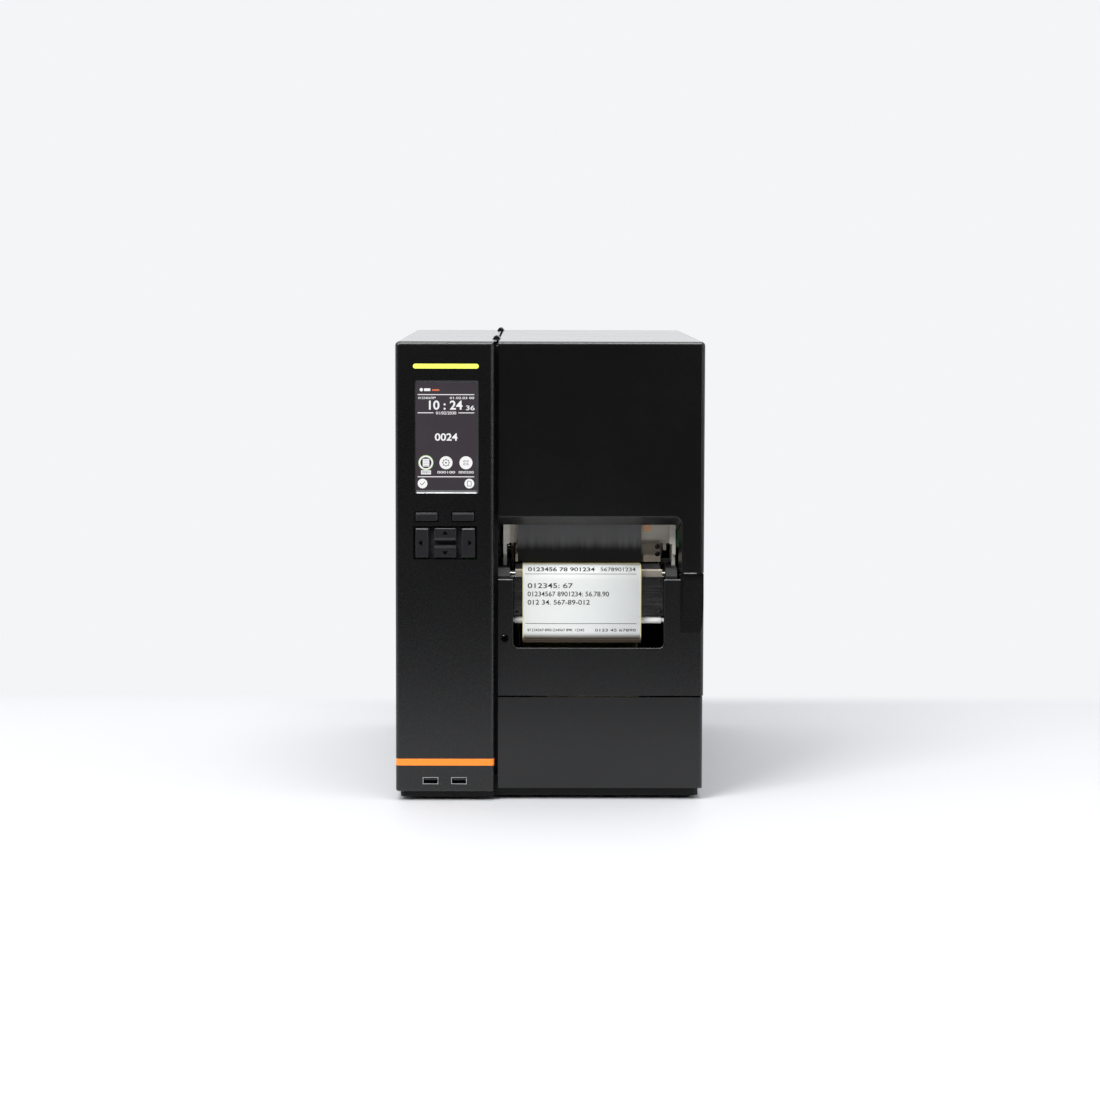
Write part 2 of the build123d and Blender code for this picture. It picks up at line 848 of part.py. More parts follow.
# Front moulding of the column, with the trim groove and all its openings
bezel_inner_y = front_y + moulding_wall
board_front_y = bezel_inner_y + display_depth + glass_thickness - (moulding_wall - screen_depth)
board_rear_y = board_front_y + board_thickness
board_low_z = pad_low_z - board_margin
board_high_z = light_z + board_margin
board_left_x = screen_left_x - board_margin
board_right_x = screen_right_x + board_margin
light_centre_x = middle(light_left_x, light_right_x)
screen_centre = (middle(screen_left_x, screen_right_x), middle(screen_low_z, screen_high_z))
screen_width = screen_right_x - screen_left_x
screen_height = screen_high_z - screen_low_z
boss_places = [(x, z) for x in (board_left_x + boss_radius, board_right_x - boss_radius)
               for z in (board_low_z + boss_radius, screen_high_z + board_margin)]
soft_zs = (soft_key_low_z, soft_key_high_z)
soft_left_xs = (soft_left_x, soft_left_x + soft_left_width)
soft_right_xs = (soft_right_x, soft_right_x + soft_right_width)
soft_flange_zs = (soft_key_low_z - key_flange, soft_key_high_z + key_flange)
side_zs = (pad_low_z + pad_key_inset, pad_high_z - pad_key_inset)
left_key_xs = (pad_left_x + pad_key_inset, pad_left_x + pad_key_inset + side_key_width)
right_key_xs = (pad_right_x - pad_key_inset - side_key_width, pad_right_x - pad_key_inset)
pad_centre_x = middle(pad_left_x, pad_right_x)
middle_xs = (pad_centre_x - middle_key_width / 2, pad_centre_x + middle_key_width / 2)
down_zs = (side_zs[0], side_zs[0] + middle_key_height)
up_zs = (side_zs[1] - middle_key_height, side_zs[1])


def trim_ring(mode):
    """Add or cut the strip that runs round the front and the sides of the column."""
    with BuildSketch(at_height(trim_low_z)) as profile:
        with Locations((middle(left_x, column_right_x), middle(front_y, bezel_rear_y))):
            Rectangle(column_width, bezel_depth)
        fillet(vertices().group_by(Axis.Y)[0], edge_radius)
        with Locations((middle(left_x, column_right_x), middle(front_y + trim_depth, bezel_rear_y))):
            RectangleRounded(column_width - 2 * trim_depth, bezel_depth - trim_depth,
                             edge_radius - trim_depth, mode=Mode.SUBTRACT)
        with Locations((middle(left_x, column_right_x), bezel_rear_y)):
            Rectangle(column_width - 2 * trim_depth, bezel_depth, mode=Mode.SUBTRACT)
    extrude(profile.sketch, amount=trim_high_z - trim_low_z, mode=mode)


def pad_ledge(xs, edge_z, inner_z):
    """Add a sloping ledge at one end of a gap between the keys of the pad."""
    with BuildSketch(facing_right(xs[0] + key_gap)) as slope:
        with BuildLine():
            Polyline((front_y + ledge_setback, edge_z), (bezel_inner_y, inner_z), (bezel_inner_y, edge_z),
                     close=True)
        make_face()
    extrude(slope.sketch, amount=xs[1] - xs[0] - 2 * key_gap)


with BuildPart() as front_bezel:
    block((left_x, column_right_x), (front_y, bezel_rear_y), (column_bottom_z, top_z))
    upright_edges = edges().filter_by(Axis.Z).group_by(Axis.Y)[0]
    top_front_edge = edges().filter_by(Axis.X).group_by(Axis.Z)[-1].sort_by(Axis.Y)[0]
    top_left_edge = edges().filter_by(Axis.Y).group_by(Axis.Z)[-1].sort_by(Axis.X)[0]
    fillet([*upright_edges, top_front_edge, top_left_edge], edge_radius)
    bottom_rim = faces().sort_by(Axis.Z)[0].edges()
    fillet(bottom_rim.filter_by_position(Axis.Y, front_y - seat_gap, bezel_rear_y - seat_gap), bezel_ease)
    block((left_x + bezel_side_wall, column_right_x - bezel_side_wall),
          (bezel_inner_y, bezel_rear_y + cut_overrun),
          (column_bottom_z - cut_overrun, top_z - bezel_side_wall), Mode.SUBTRACT)
    trim_ring(Mode.SUBTRACT)
    with BuildSketch(facing_front(bezel_inner_y + cut_overrun)):
        with Locations((light_centre_x, light_z)):
            SlotOverall(light_right_x - light_left_x, light_height)
        with Locations(screen_centre):
            RectangleRounded(screen_width, screen_height, screen_corner_radius)
        with Locations((middle(soft_left_x, soft_left_x + soft_left_width),
                        middle(soft_key_low_z, soft_key_high_z))):
            RectangleRounded(soft_left_width + 2 * key_gap, soft_key_high_z - soft_key_low_z + 2 * key_gap,
                             key_edge)
        with Locations((middle(soft_right_x, soft_right_x + soft_right_width),
                        middle(soft_key_low_z, soft_key_high_z))):
            RectangleRounded(soft_right_width + 2 * key_gap, soft_key_high_z - soft_key_low_z + 2 * key_gap,
                             key_edge)
        with Locations((middle(pad_left_x, pad_right_x), middle(pad_low_z, pad_high_z))):
            RectangleRounded(pad_right_x - pad_left_x, pad_high_z - pad_low_z, pad_radius)
        with Locations((usb_left_x, usb_z), (usb_right_x, usb_z)):
            Rectangle(usb_width + 2 * usb_clearance, usb_height + 2 * usb_clearance)
    extrude(amount=2 * cut_overrun + moulding_wall, mode=Mode.SUBTRACT)
    with BuildSketch(facing_front(board_front_y)):
        with Locations(*boss_places):
            Circle(boss_radius)
    extrude(amount=board_front_y - bezel_inner_y)
    for gap_xs in ((left_key_xs[1], middle_xs[0]), (middle_xs[1], right_key_xs[0])):
        pad_ledge(gap_xs, pad_low_z - seat_gap, pad_low_z + ledge_height)
        pad_ledge(gap_xs, pad_high_z + seat_gap, pad_high_z - ledge_height)
front_bezel.part.label = "front_bezel"

with BuildPart() as trim_strip:
    trim_ring(Mode.ADD)
trim_strip.part.label = "trim_strip"

with BuildPart() as light_bar:
    with BuildSketch(facing_front(bezel_inner_y)):
        with Locations((light_centre_x, light_z)):
            SlotOverall(light_right_x - light_left_x - 2 * light_clearance,
                        light_height - 2 * light_clearance)
    extrude(amount=moulding_wall + light_proud)
    front_rim = faces().sort_by(Axis.Y)[0].edges()
    fillet(front_rim, light_proud)
    with BuildSketch(facing_front(board_front_y)):
        with Locations((light_centre_x, light_z)):
            SlotOverall(light_right_x - light_left_x + light_flange, light_height + light_flange)
    extrude(amount=board_front_y - bezel_inner_y)
light_bar.part.label = "light_bar"

# Display: a trim ring with sloping inner sides, and the glass with its module behind
glass_front_y = front_y + screen_depth
with BuildPart() as display_frame:
    with BuildSketch(facing_front(glass_front_y)):
        with Locations(screen_centre):
            RectangleRounded(screen_width - 2 * screen_clearance, screen_height - 2 * screen_clearance,
                             screen_corner_radius - screen_clearance)
    extrude(amount=screen_depth)
    with BuildSketch(facing_front(glass_front_y)):
        with Locations((middle(active_left_x, active_right_x), middle(active_low_z, active_high_z))):
            RectangleRounded(active_right_x - active_left_x, active_high_z - active_low_z, active_radius)
    with BuildSketch(facing_front(front_y)):
        with Locations(screen_centre):
            RectangleRounded(screen_width - 2 * screen_side_border, screen_height - 2 * screen_side_border,
                             screen_corner_radius - screen_side_border)
    loft(mode=Mode.SUBTRACT)
display_frame.part.label = "display_frame"

with BuildPart() as touch_screen:
    glass_rear_y = glass_front_y + glass_thickness
    with BuildSketch(facing_front(glass_rear_y)):
        with Locations(screen_centre):
            RectangleRounded(screen_width - 2 * screen_clearance, screen_height - 2 * screen_clearance,
                             screen_corner_radius - screen_clearance)
    extrude(amount=glass_thickness)
    block((screen_left_x + display_margin, screen_right_x - display_margin), (glass_rear_y, board_front_y),
          (screen_low_z + display_margin, screen_high_z - display_margin))
touch_screen.part.label = "touch_screen"


# Keys: cap, flange behind the moulding where it has one, and a stem that meets its switch
key_front_y = front_y - key_proud
key_flange_front_y = bezel_inner_y + seat_gap
key_flange_rear_y = key_flange_front_y + key_flange_thickness
stem_end_y = key_flange_rear_y + key_flange_thickness
switch_front_y = stem_end_y + key_travel + switch_gap


def key_blank(xs, zs, flange_xs, flange_zs):
    """Add a key: a cap with eased edges, a flange behind the moulding, and a stem."""
    with BuildSketch(facing_front(key_flange_front_y)) as cap:
        with Locations((middle(*xs), middle(*zs))):
            RectangleRounded(xs[1] - xs[0], zs[1] - zs[0], key_edge)
    extrude(cap.sketch, amount=key_flange_front_y - key_front_y)
    chamfer(faces().sort_by(Axis.Y)[0].edges(), key_edge)
    block(flange_xs, (key_flange_front_y, key_flange_rear_y), flange_zs)
    with BuildSketch(facing_front(stem_end_y)) as stem:
        with Locations((middle(*xs), middle(*zs))):
            Circle(key_stem * middle_share)
    extrude(stem.sketch, amount=stem_end_y - key_flange_rear_y)


def key_ramp(xs, edge_z, crest_z):
    """Cut a slope across the front of a key, from its crest back to one of its edges."""
    with BuildSketch(facing_right(xs[0])) as slope:
        with BuildLine():
            Polyline((key_front_y, crest_z), (key_front_y, edge_z), (key_front_y + key_ramp_depth, edge_z),
                     close=True)
        make_face()
    extrude(slope.sketch, amount=xs[1] - xs[0], mode=Mode.SUBTRACT)


with BuildPart() as select_key_left:
    key_blank(soft_left_xs, soft_zs, (soft_left_xs[0] - key_flange, soft_left_xs[1] + key_flange),
              soft_flange_zs)
    key_ramp(soft_left_xs, soft_key_high_z, soft_key_high_z - select_ramp)
select_key_left.part.label = "select_key_left"

with BuildPart() as select_key_right:
    key_blank(soft_right_xs, soft_zs, (soft_right_xs[0] - key_flange, soft_right_xs[1] + key_flange),
              soft_flange_zs)
    key_ramp(soft_right_xs, soft_key_high_z, soft_key_high_z - select_ramp)
select_key_right.part.label = "select_key_right"

with BuildPart() as key_left:
    key_blank(left_key_xs, side_zs, (pad_left_x - key_flange, left_key_xs[1]), side_zs)
    key_ramp(left_key_xs, side_zs[1], side_zs[1] - side_ramp)
key_left.part.label = "key_left"

with BuildPart() as key_right:
    key_blank(right_key_xs, side_zs, (right_key_xs[0], pad_right_x + key_flange), side_zs)
    key_ramp(right_key_xs, side_zs[1], side_zs[1] - side_ramp)
key_right.part.label = "key_right"

with BuildPart() as key_up:
    key_blank(middle_xs, up_zs, middle_xs, (up_zs[0], pad_high_z + key_flange))
    key_ramp(middle_xs, up_zs[0], up_zs[0] + middle_ramp)
key_up.part.label = "key_up"

with BuildPart() as key_down:
    key_blank(middle_xs, down_zs, middle_xs, (pad_low_z - key_flange, down_zs[1]))
    key_ramp(middle_xs, down_zs[1], down_zs[1] - middle_ramp)
key_down.part.label = "key_down"

key_centres = [(middle(*soft_left_xs), middle(*soft_zs)), (middle(*soft_right_xs), middle(*soft_zs)),
               (middle(*left_key_xs), middle(*side_zs)), (middle(*right_key_xs), middle(*side_zs)),
               (pad_centre_x, middle(*up_zs)), (pad_centre_x, middle(*down_zs))]
with BuildPart() as panel_board:
    block((board_left_x, board_right_x), (board_front_y, board_rear_y), (board_low_z, board_high_z))
    with BuildSketch(facing_front(board_front_y)):
        with Locations(*key_centres):
            Rectangle(key_stem, key_stem)
    extrude(amount=board_front_y - switch_front_y)
    with BuildSketch(facing_front(board_rear_y)):
        with Locations(*boss_places):
            Circle(boss_radius)
    extrude(amount=board_thickness)
panel_board.part.label = "panel_board"

# Front data sockets: two shells with their tongues on a small board
with BuildPart() as usb_ports:
    for port_x in (usb_left_x, usb_right_x):
        block((port_x - usb_width / 2, port_x + usb_width / 2), (front_y, usb_rear_y),
              (usb_z - usb_height / 2, usb_z + usb_height / 2))
        block((port_x - usb_width / 2 + usb_shell, port_x + usb_width / 2 - usb_shell),
              (front_y - cut_overrun, usb_rear_y - usb_shell),
              (usb_z - usb_height / 2 + usb_shell, usb_z + usb_height / 2 - usb_shell), Mode.SUBTRACT)
        block((port_x - tongue_width / 2, port_x + tongue_width / 2), (front_y + tongue_setback, usb_rear_y),
              (usb_z + usb_height / 2 - usb_shell - tongue_thickness - usb_shell,
               usb_z + usb_height / 2 - usb_shell - usb_shell))
    block((usb_left_x - usb_width / 2, usb_right_x + usb_width / 2), (bezel_inner_y + seat_gap, usb_rear_y),
          (usb_board_z - board_thickness, usb_board_z))
    post_y = usb_rear_y - boss_radius
    with BuildSketch(at_height(pan_low_z + pan_sheet)):
        with Locations((usb_left_x, post_y), (usb_right_x, post_y)):
            Circle(boss_radius)
    extrude(amount=usb_board_z - board_thickness - pan_low_z - pan_sheet)
usb_ports.part.label = "usb_ports"

# Rear panel: vents, the slot for folded labels, and the holes for inlet and sockets
connector_x = column_right_x - main_board_standoff - board_thickness
rear_holes = (
    (connector_x - network_width / 2, network_z, network_width, network_height),
    (connector_x - device_width / 2, device_z, device_width, device_height),
    (connector_x - serial_width / 2, serial_z, serial_width, serial_height),
)
with BuildPart() as rear_panel:
    with BuildSketch(facing_front(panel_rear_y)):
        with Locations((middle(left_x, right_x - side_inset), middle(column_bottom_z, top_z))):
            Rectangle(right_x - side_inset - left_x, top_z - column_bottom_z)
        fillet(vertices().group_by(Axis.Y)[-1], edge_radius)
        for vent_place in range(vent_count):
            with Locations((vent_x, vent_z - vent_place * vent_pitch)):
                SlotOverall(vent_slot_length, vent_slot_width, mode=Mode.SUBTRACT)
        with Locations((middle(fan_slot_left_x, fan_slot_right_x), fan_slot_z)):
            RectangleRounded(fan_slot_right_x - fan_slot_left_x, fan_slot_height,
                             fan_slot_height * middle_share - cover_sheet, mode=Mode.SUBTRACT)
        for hole_x, hole_z, hole_width, hole_height in rear_holes:
            with Locations((hole_x, hole_z)):
                Rectangle(hole_width + 2 * connector_gap, hole_height + 2 * connector_gap, mode=Mode.SUBTRACT)
        with Locations((inlet_x, inlet_z)):
            Rectangle(inlet_width + 2 * connector_gap, inlet_height + 2 * connector_gap, mode=Mode.SUBTRACT)
        with Locations((rocker_x, inlet_z)):
            Rectangle(rocker_frame_width + 2 * connector_gap, inlet_height + rocker_wall + 2 * connector_gap,
                      mode=Mode.SUBTRACT)
    extrude(amount=cover_sheet)
rear_panel.part.label = "rear_panel"

# Mains inlet with the frame of its rocker switch, in one module
inlet_front_y = panel_rear_y - inlet_depth
flange_rear_y = panel_rear_y + inlet_flange_thickness
rocker_frame_height = inlet_height + rocker_wall
rocker_frame_front_y = panel_rear_y - rocker_depth - rocker_wall
rocker_pivot_y = panel_rear_y - rocker_depth / 2
with BuildPart() as power_inlet:
    block((inlet_x - inlet_width / 2, inlet_x + inlet_width / 2), (inlet_front_y, flange_rear_y),
          (inlet_z - inlet_height / 2, inlet_z + inlet_height / 2))
    block((rocker_x - rocker_frame_width / 2, rocker_x + rocker_frame_width / 2),
          (rocker_frame_front_y, flange_rear_y),
          (inlet_z - rocker_frame_height / 2, inlet_z + rocker_frame_height / 2))
    with BuildSketch(facing_front(flange_rear_y)):
        with Locations((middle(inlet_x - inlet_width / 2, rocker_x + rocker_frame_width / 2), inlet_z)):
            RectangleRounded(rocker_x - inlet_x + (inlet_width + rocker_frame_width) / 2 + 2 * inlet_flange,
                             rocker_frame_height + 2 * inlet_flange, inlet_flange)
    extrude(amount=inlet_flange_thickness)
    block((inlet_x - inlet_width / 2 + inlet_wall, inlet_x + inlet_width / 2 - inlet_wall),
          (flange_rear_y - inlet_cavity, flange_rear_y + cut_overrun),
          (inlet_z - inlet_height / 2 + inlet_wall, inlet_z + inlet_height / 2 - inlet_wall), Mode.SUBTRACT)
    block((rocker_x - rocker_frame_width / 2 + rocker_wall, rocker_x + rocker_frame_width / 2 - rocker_wall),
          (panel_rear_y - rocker_depth, flange_rear_y + cut_overrun),
          (inlet_z - rocker_frame_height / 2 + rocker_wall, inlet_z + rocker_frame_height / 2 - rocker_wall),
          Mode.SUBTRACT)
    with BuildSketch(facing_front(flange_rear_y - inlet_pin_setback)):
        with Locations((inlet_x - inlet_pin_spacing / 2, inlet_z - inlet_pin_offset / 2),
                       (inlet_x + inlet_pin_spacing / 2, inlet_z - inlet_pin_offset / 2),
                       (inlet_x, inlet_z + inlet_pin_offset / 2)):
            Rectangle(inlet_pin_width, inlet_pin_height)
    extrude(amount=inlet_cavity - inlet_pin_setback)
    rod((rocker_x - rocker_frame_width / 2, rocker_x - rocker_width / 2 + rocker_wall), rocker_pivot_y,
        inlet_z, rocker_pin_radius)
    rod((rocker_x + rocker_width / 2 - rocker_wall, rocker_x + rocker_frame_width / 2), rocker_pivot_y,
        inlet_z, rocker_pin_radius)
power_inlet.part.label = "power_inlet"

with BuildPart() as power_rocker:
    with BuildSketch(facing_right(rocker_x - rocker_width / 2)):
        with Locations(Location((rocker_pivot_y, inlet_z, 0), (0, 0, -rocker_angle))):
            Polygon((rocker_reach - rocker_hollow, 0), (rocker_reach, rocker_height / 2),
                    (0, rocker_height / 2), (rocker_hollow - rocker_reach, rocker_height / 4),
                    (rocker_hollow - rocker_reach, -rocker_height / 4), (0, -rocker_height / 2),
                    (rocker_reach, -rocker_height / 2), align=None)
    extrude(amount=rocker_width)
    rod((rocker_x - rocker_width, rocker_x + rocker_width), rocker_pivot_y, inlet_z,
        rocker_pin_radius + running_gap, Mode.SUBTRACT)
power_rocker.part.label = "power_rocker"

# Main board on standoffs on the wall, its sockets at the rear, and the power supply on the pan
board_face_x = column_right_x - main_board_standoff
with BuildPart() as main_board:
    block((board_face_x - board_thickness, board_face_x), (main_board_front_y, main_board_rear_y),
          (main_board_low_z, main_board_high_z))
    with BuildSketch(facing_right(board_face_x)):
        with Locations((middle(main_board_front_y, main_board_rear_y),
                        middle(main_board_low_z, main_board_high_z))):
            with GridLocations(main_board_rear_y - main_board_front_y - 4 * standoff_radius,
                               main_board_high_z - main_board_low_z - 4 * standoff_radius, 2, 2):
                Circle(standoff_radius)
    extrude(amount=main_board_standoff)
    sink_low_z = middle(main_board_low_z, main_board_high_z) - heat_sink_height / 2
    sink_front_y = middle(main_board_front_y, main_board_rear_y) - heat_sink_length / 2
    block((connector_x - heat_sink_depth, connector_x), (sink_front_y, sink_front_y + heat_sink_length),
          (sink_low_z, sink_low_z + heat_sink_height))
    fin_pitch = heat_sink_height / heat_sink_fins
    for fin_place in range(heat_sink_fins):
        fin_low_z = sink_low_z + (fin_place + middle_share / 2) * fin_pitch
        block((connector_x - heat_sink_depth - cut_overrun, connector_x - heat_sink_depth / 4),
              (sink_front_y - cut_overrun, sink_front_y + heat_sink_length + cut_overrun),
              (fin_low_z, fin_low_z + fin_pitch * middle_share), Mode.SUBTRACT)
main_board.part.label = "main_board"

with BuildPart() as rear_connectors:
    socket_front_y = panel_rear_y - network_depth
    block((connector_x - network_width, connector_x), (socket_front_y, panel_rear_y),
          (network_z - network_height / 2, network_z + network_height / 2))
    block((connector_x - network_width + network_wall, connector_x - network_wall),
          (panel_rear_y - network_cavity, panel_rear_y + cut_overrun),
          (network_z - network_height / 2 + network_wall, network_z + network_height / 2 - network_wall),
          Mode.SUBTRACT)
    block((connector_x - device_width, connector_x), (socket_front_y, panel_rear_y),
          (device_z - device_height / 2, device_z + device_height / 2))
    block((connector_x - device_width + network_wall, connector_x - network_wall),
          (panel_rear_y - network_cavity, panel_rear_y + cut_overrun),
          (device_z - device_height / 2 + network_wall, device_z + device_height / 2 - network_wall),
          Mode.SUBTRACT)
    block((connector_x - serial_width, connector_x), (socket_front_y, panel_rear_y),
          (serial_z - serial_height / 2, serial_z + serial_height / 2))
rear_connectors.part.label = "rear_connectors"

with BuildPart() as power_supply:
    block((supply_box_left_x, supply_box_right_x), (supply_box_front_y, supply_box_rear_y),
          (wall_low_z, wall_low_z + supply_box_height))
    supply_length = supply_box_rear_y - supply_box_front_y
    with BuildSketch(at_height(wall_low_z + supply_box_height)):
        with Locations((middle(supply_box_left_x, supply_box_right_x),
                        middle(supply_box_front_y, supply_box_rear_y))):
            with GridLocations(vent_slot_length, supply_length / (supply_vent_count + 1), 1,
                               supply_vent_count):
                SlotOverall(vent_slot_length, vent_slot_width)
    extrude(amount=-cover_sheet, mode=Mode.SUBTRACT)
power_supply.part.label = "power_supply"

# Platen drive: motor, two pulleys and the belt
pulley_right_x = pulley_left_x + pulley_width
motor_turn = math.degrees(math.atan2(platen_z - motor_z, platen_y - motor_y)) - 45
with BuildPart() as platen_motor:
    motor_right_x = pulley_left_x - pulley_wall_gap - motor_boss
    with BuildSketch(facing_right(motor_right_x)):
        with Locations((motor_y, motor_z)):
            Rectangle(motor_side, motor_side, rotation=motor_turn)
        fillet(vertices(), motor_corner)
    extrude(amount=-motor_length)
    rod((motor_right_x, motor_right_x + motor_boss), motor_y, motor_z, motor_boss_radius)
    with BuildSketch(facing_right(motor_right_x)):
        with Locations((motor_y, motor_z)):
            with PolarLocations(motor_post_circle, 4, start_angle=motor_turn + 45):
                Circle(motor_post_radius)
    extrude(amount=column_right_x - motor_right_x)
    rod((motor_right_x, pulley_right_x), motor_y, motor_z, motor_shaft_radius)
platen_motor.part.label = "platen_motor"

with BuildPart() as motor_pulley:
    tube((pulley_left_x, pulley_right_x), motor_y, motor_z, motor_pulley_radius,
         motor_shaft_radius + running_gap)
motor_pulley.part.label = "motor_pulley"

with BuildPart() as drive_belt:
    belt_left_x = pulley_left_x + pulley_rim
    belt_right_x = pulley_right_x - pulley_rim
    with BuildSketch(facing_right(belt_left_x)):
        belt_outer = belt_gap + belt_thickness
        wrapped((platen_y, platen_z, platen_pulley_radius + belt_outer),
                (motor_y, motor_z, motor_pulley_radius + belt_outer))
        wrapped((platen_y, platen_z, platen_pulley_radius + belt_gap),
                (motor_y, motor_z, motor_pulley_radius + belt_gap), Mode.SUBTRACT)
    extrude(amount=belt_right_x - belt_left_x)
drive_belt.part.label = "drive_belt"

with BuildPart() as platen_shaft:
    rod((pulley_left_x - pulley_wall_gap, cheek_right_end_x - bush_flange), platen_y, platen_z,
        platen_shaft_radius)
    rod((pulley_left_x, pulley_right_x), platen_y, platen_z, platen_pulley_radius)
platen_shaft.part.label = "platen_shaft"

with BuildPart() as platen_roller:
    tube((platen_left_x, platen_right_x), platen_y, platen_z, platen_radius, platen_shaft_radius)
platen_roller.part.label = "platen_roller"

# Spindle motors: three gear motors on posts on the wall
gearbox_right_x = column_right_x - gearbox_standoff
with BuildPart() as spindle_motors:
    for place_y, place_z in spindle_places:
        rod((gearbox_right_x - gearbox_length, gearbox_right_x), place_y, place_z, gearbox_radius)
        rod((gearbox_right_x - gearbox_length - motor_can_length, gearbox_right_x - gearbox_length),
            place_y, place_z, motor_can_radius)
        with BuildSketch(facing_right(gearbox_right_x)):
            with Locations((place_y, place_z)):
                with PolarLocations(gearbox_post_circle, gearbox_post_count):
                    Circle(gearbox_post_radius)
        extrude(amount=gearbox_standoff)
        rod((gearbox_right_x - shaft_into_gearbox - seat_gap, gearbox_right_x), place_y, place_z,
            spindle_shaft_radius + running_gap, Mode.SUBTRACT)
spindle_motors.part.label = "spindle_motors"

# Print frame: two cheeks joined by three beams, cast in one piece
cheek_front_y = main_front_y + moulding_wall
with BuildPart() as print_frame:
    for cheek_xs in ((bay_left_x, cheek_left_end_x), (cheek_right_x, cheek_right_end_x)):
        with BuildSketch(facing_right(cheek_xs[0])):
            with BuildLine():
                Polyline((cheek_front_y, cheek_low_z), (cheek_front_y, cheek_top_z - cheek_nose_setback),
                         (cheek_front_y + cheek_nose_setback, cheek_top_z), (cheek_rear_y, cheek_top_z),
                         (cheek_rear_y, beam_rear_low_z - cheek_nose_setback),
                         (beam_mid_rear_y + cheek_nose_setback, cheek_front_low_z),
                         (beam_mid_front_y, cheek_low_z),
                         close=True)
            make_face()
            with Locations((platen_y, platen_z)):
                Circle(bush_radius, mode=Mode.SUBTRACT)
        extrude(amount=cheek_xs[1] - cheek_xs[0])
    block((cheek_left_end_x, cheek_right_x), (cheek_front_y, cheek_front_y + beam_front_thickness),
          (beam_front_low_z, beam_front_high_z))
    block((cheek_left_end_x, cheek_right_x), (beam_mid_front_y, beam_mid_rear_y),
          (beam_mid_low_z, beam_mid_high_z))
    block((cheek_left_end_x, cheek_right_x), (beam_rear_front_y, cheek_rear_y),
          (beam_rear_low_z, beam_rear_high_z))
    for pin_xs in ((cheek_left_end_x, cheek_left_end_x + arm_left_x - cheek_left_end_x + carrier_sheet),
                   (arm_right_x - carrier_sheet, cheek_right_x)):
        rod(pin_xs, head_pivot_y, head_pivot_z, head_pin_radius)
print_frame.part.label = "print_frame"

# Tear bar, guide plate and guide bar in front of the platen
with BuildPart() as tear_bar:
    with BuildSketch(facing_right(tear_left_x)):
        with BuildLine():
            Polyline((tear_front_y, tear_low_z), (tear_front_y, tear_high_z - tear_land),
                     (tear_front_y + tear_land, tear_high_z), (tear_front_y + 2 * tear_land, tear_high_z),
                     (tear_rear_y, tear_low_z + tear_land), (tear_rear_y, tear_low_z), close=True)
        make_face()
    extrude(amount=tear_right_x - tear_left_x)
tear_bar.part.label = "tear_bar"

with BuildPart() as guide_plate:
    with BuildSketch(facing_right(guide_left_x)):
        with BuildLine():
            Polyline((guide_front_y, guide_low_z), (guide_front_y, tear_low_z), (tear_rear_y, tear_low_z),
                     (tear_rear_y, platen_z - platen_radius),
                     (beam_mid_front_y, beam_mid_high_z - guide_return_drop),
                     (beam_mid_front_y, guide_low_z), close=True)
        make_face()
    extrude(amount=guide_right_x - guide_left_x)
    with BuildSketch(facing_right(guide_left_x + guide_sheet)):
        with BuildLine():
            Polyline((guide_front_y + guide_sheet, guide_low_z + guide_sheet),
                     (guide_front_y + guide_sheet, tear_low_z - guide_sheet),
                     (tear_rear_y + cut_overrun, tear_low_z - guide_sheet),
                     (beam_mid_front_y + cut_overrun, tear_low_z - guide_sheet),
                     (beam_mid_front_y + cut_overrun, guide_low_z + guide_sheet),
                     close=True)
        make_face()
    extrude(amount=guide_right_x - guide_left_x - 2 * guide_sheet, mode=Mode.SUBTRACT)
guide_plate.part.label = "guide_plate"

with BuildPart() as guide_bar:
    rod((cheek_left_end_x, cheek_right_x), guide_bar_y, guide_bar_z, guide_journal_radius)
    rod((guide_bar_left_x, guide_bar_right_x), guide_bar_y, guide_bar_z, guide_bar_radius)
guide_bar.part.label = "guide_bar"

# Head frame: two steel side plates that stand on the cheeks
with BuildPart() as head_frame:
    for plate_x, flange_xs in ((head_frame_left_x, (head_frame_left_x, head_frame_left_x + head_flange)),
                               (head_frame_right_x, (head_frame_right_x + head_side_sheet - head_flange,
                                                     head_frame_right_x + head_side_sheet))):
        with BuildSketch(facing_right(plate_x)):
            with BuildLine():
                Polyline((head_frame_front_y + head_leg_setback, cheek_top_z),
                         (head_frame_front_y + head_leg_setback, head_leg_low_z),
                         (head_frame_front_y, head_leg_low_z), (head_frame_front_y, head_frame_top_z),
                         (head_frame_rear_y - head_flange, head_frame_top_z),
                         (head_frame_rear_y, head_frame_top_z - head_flange),
                         (head_frame_rear_y, cheek_top_z),
                         close=True)
            make_face()
            with Locations((latch_y, latch_z)):
                Circle(latch_radius + running_gap, mode=Mode.SUBTRACT)
        extrude(amount=head_side_sheet)
        block(flange_xs, (head_frame_front_y, head_frame_front_y + head_flange_sheet),
              (head_frame_leg_z, head_frame_top_z))
head_frame.part.label = "head_frame"

# Latch shaft with two cams, and the lever at its right end
with BuildPart() as latch_shaft:
    rod((head_frame_left_x - latch_end, lever_x + lever_width), latch_y, latch_z, latch_radius)
    for cam_x in (head_frame_left_x + head_side_sheet + cam_inset,
                  head_frame_right_x - cam_inset - cam_width):
        with BuildSketch(facing_right(cam_x)):
            with Locations((latch_y, latch_z)):
                Circle(latch_radius + cam_hub)
            with BuildLine():
                Polyline((latch_y - latch_radius - cam_hub, latch_z),
                         (latch_y - latch_radius * cam_tip_share, latch_z - cam_reach),
                         (latch_y + latch_radius * cam_tip_share, latch_z - cam_reach),
                         (latch_y + latch_radius + cam_hub, latch_z), close=True)
            make_face()
        extrude(amount=cam_width)
latch_shaft.part.label = "latch_shaft"

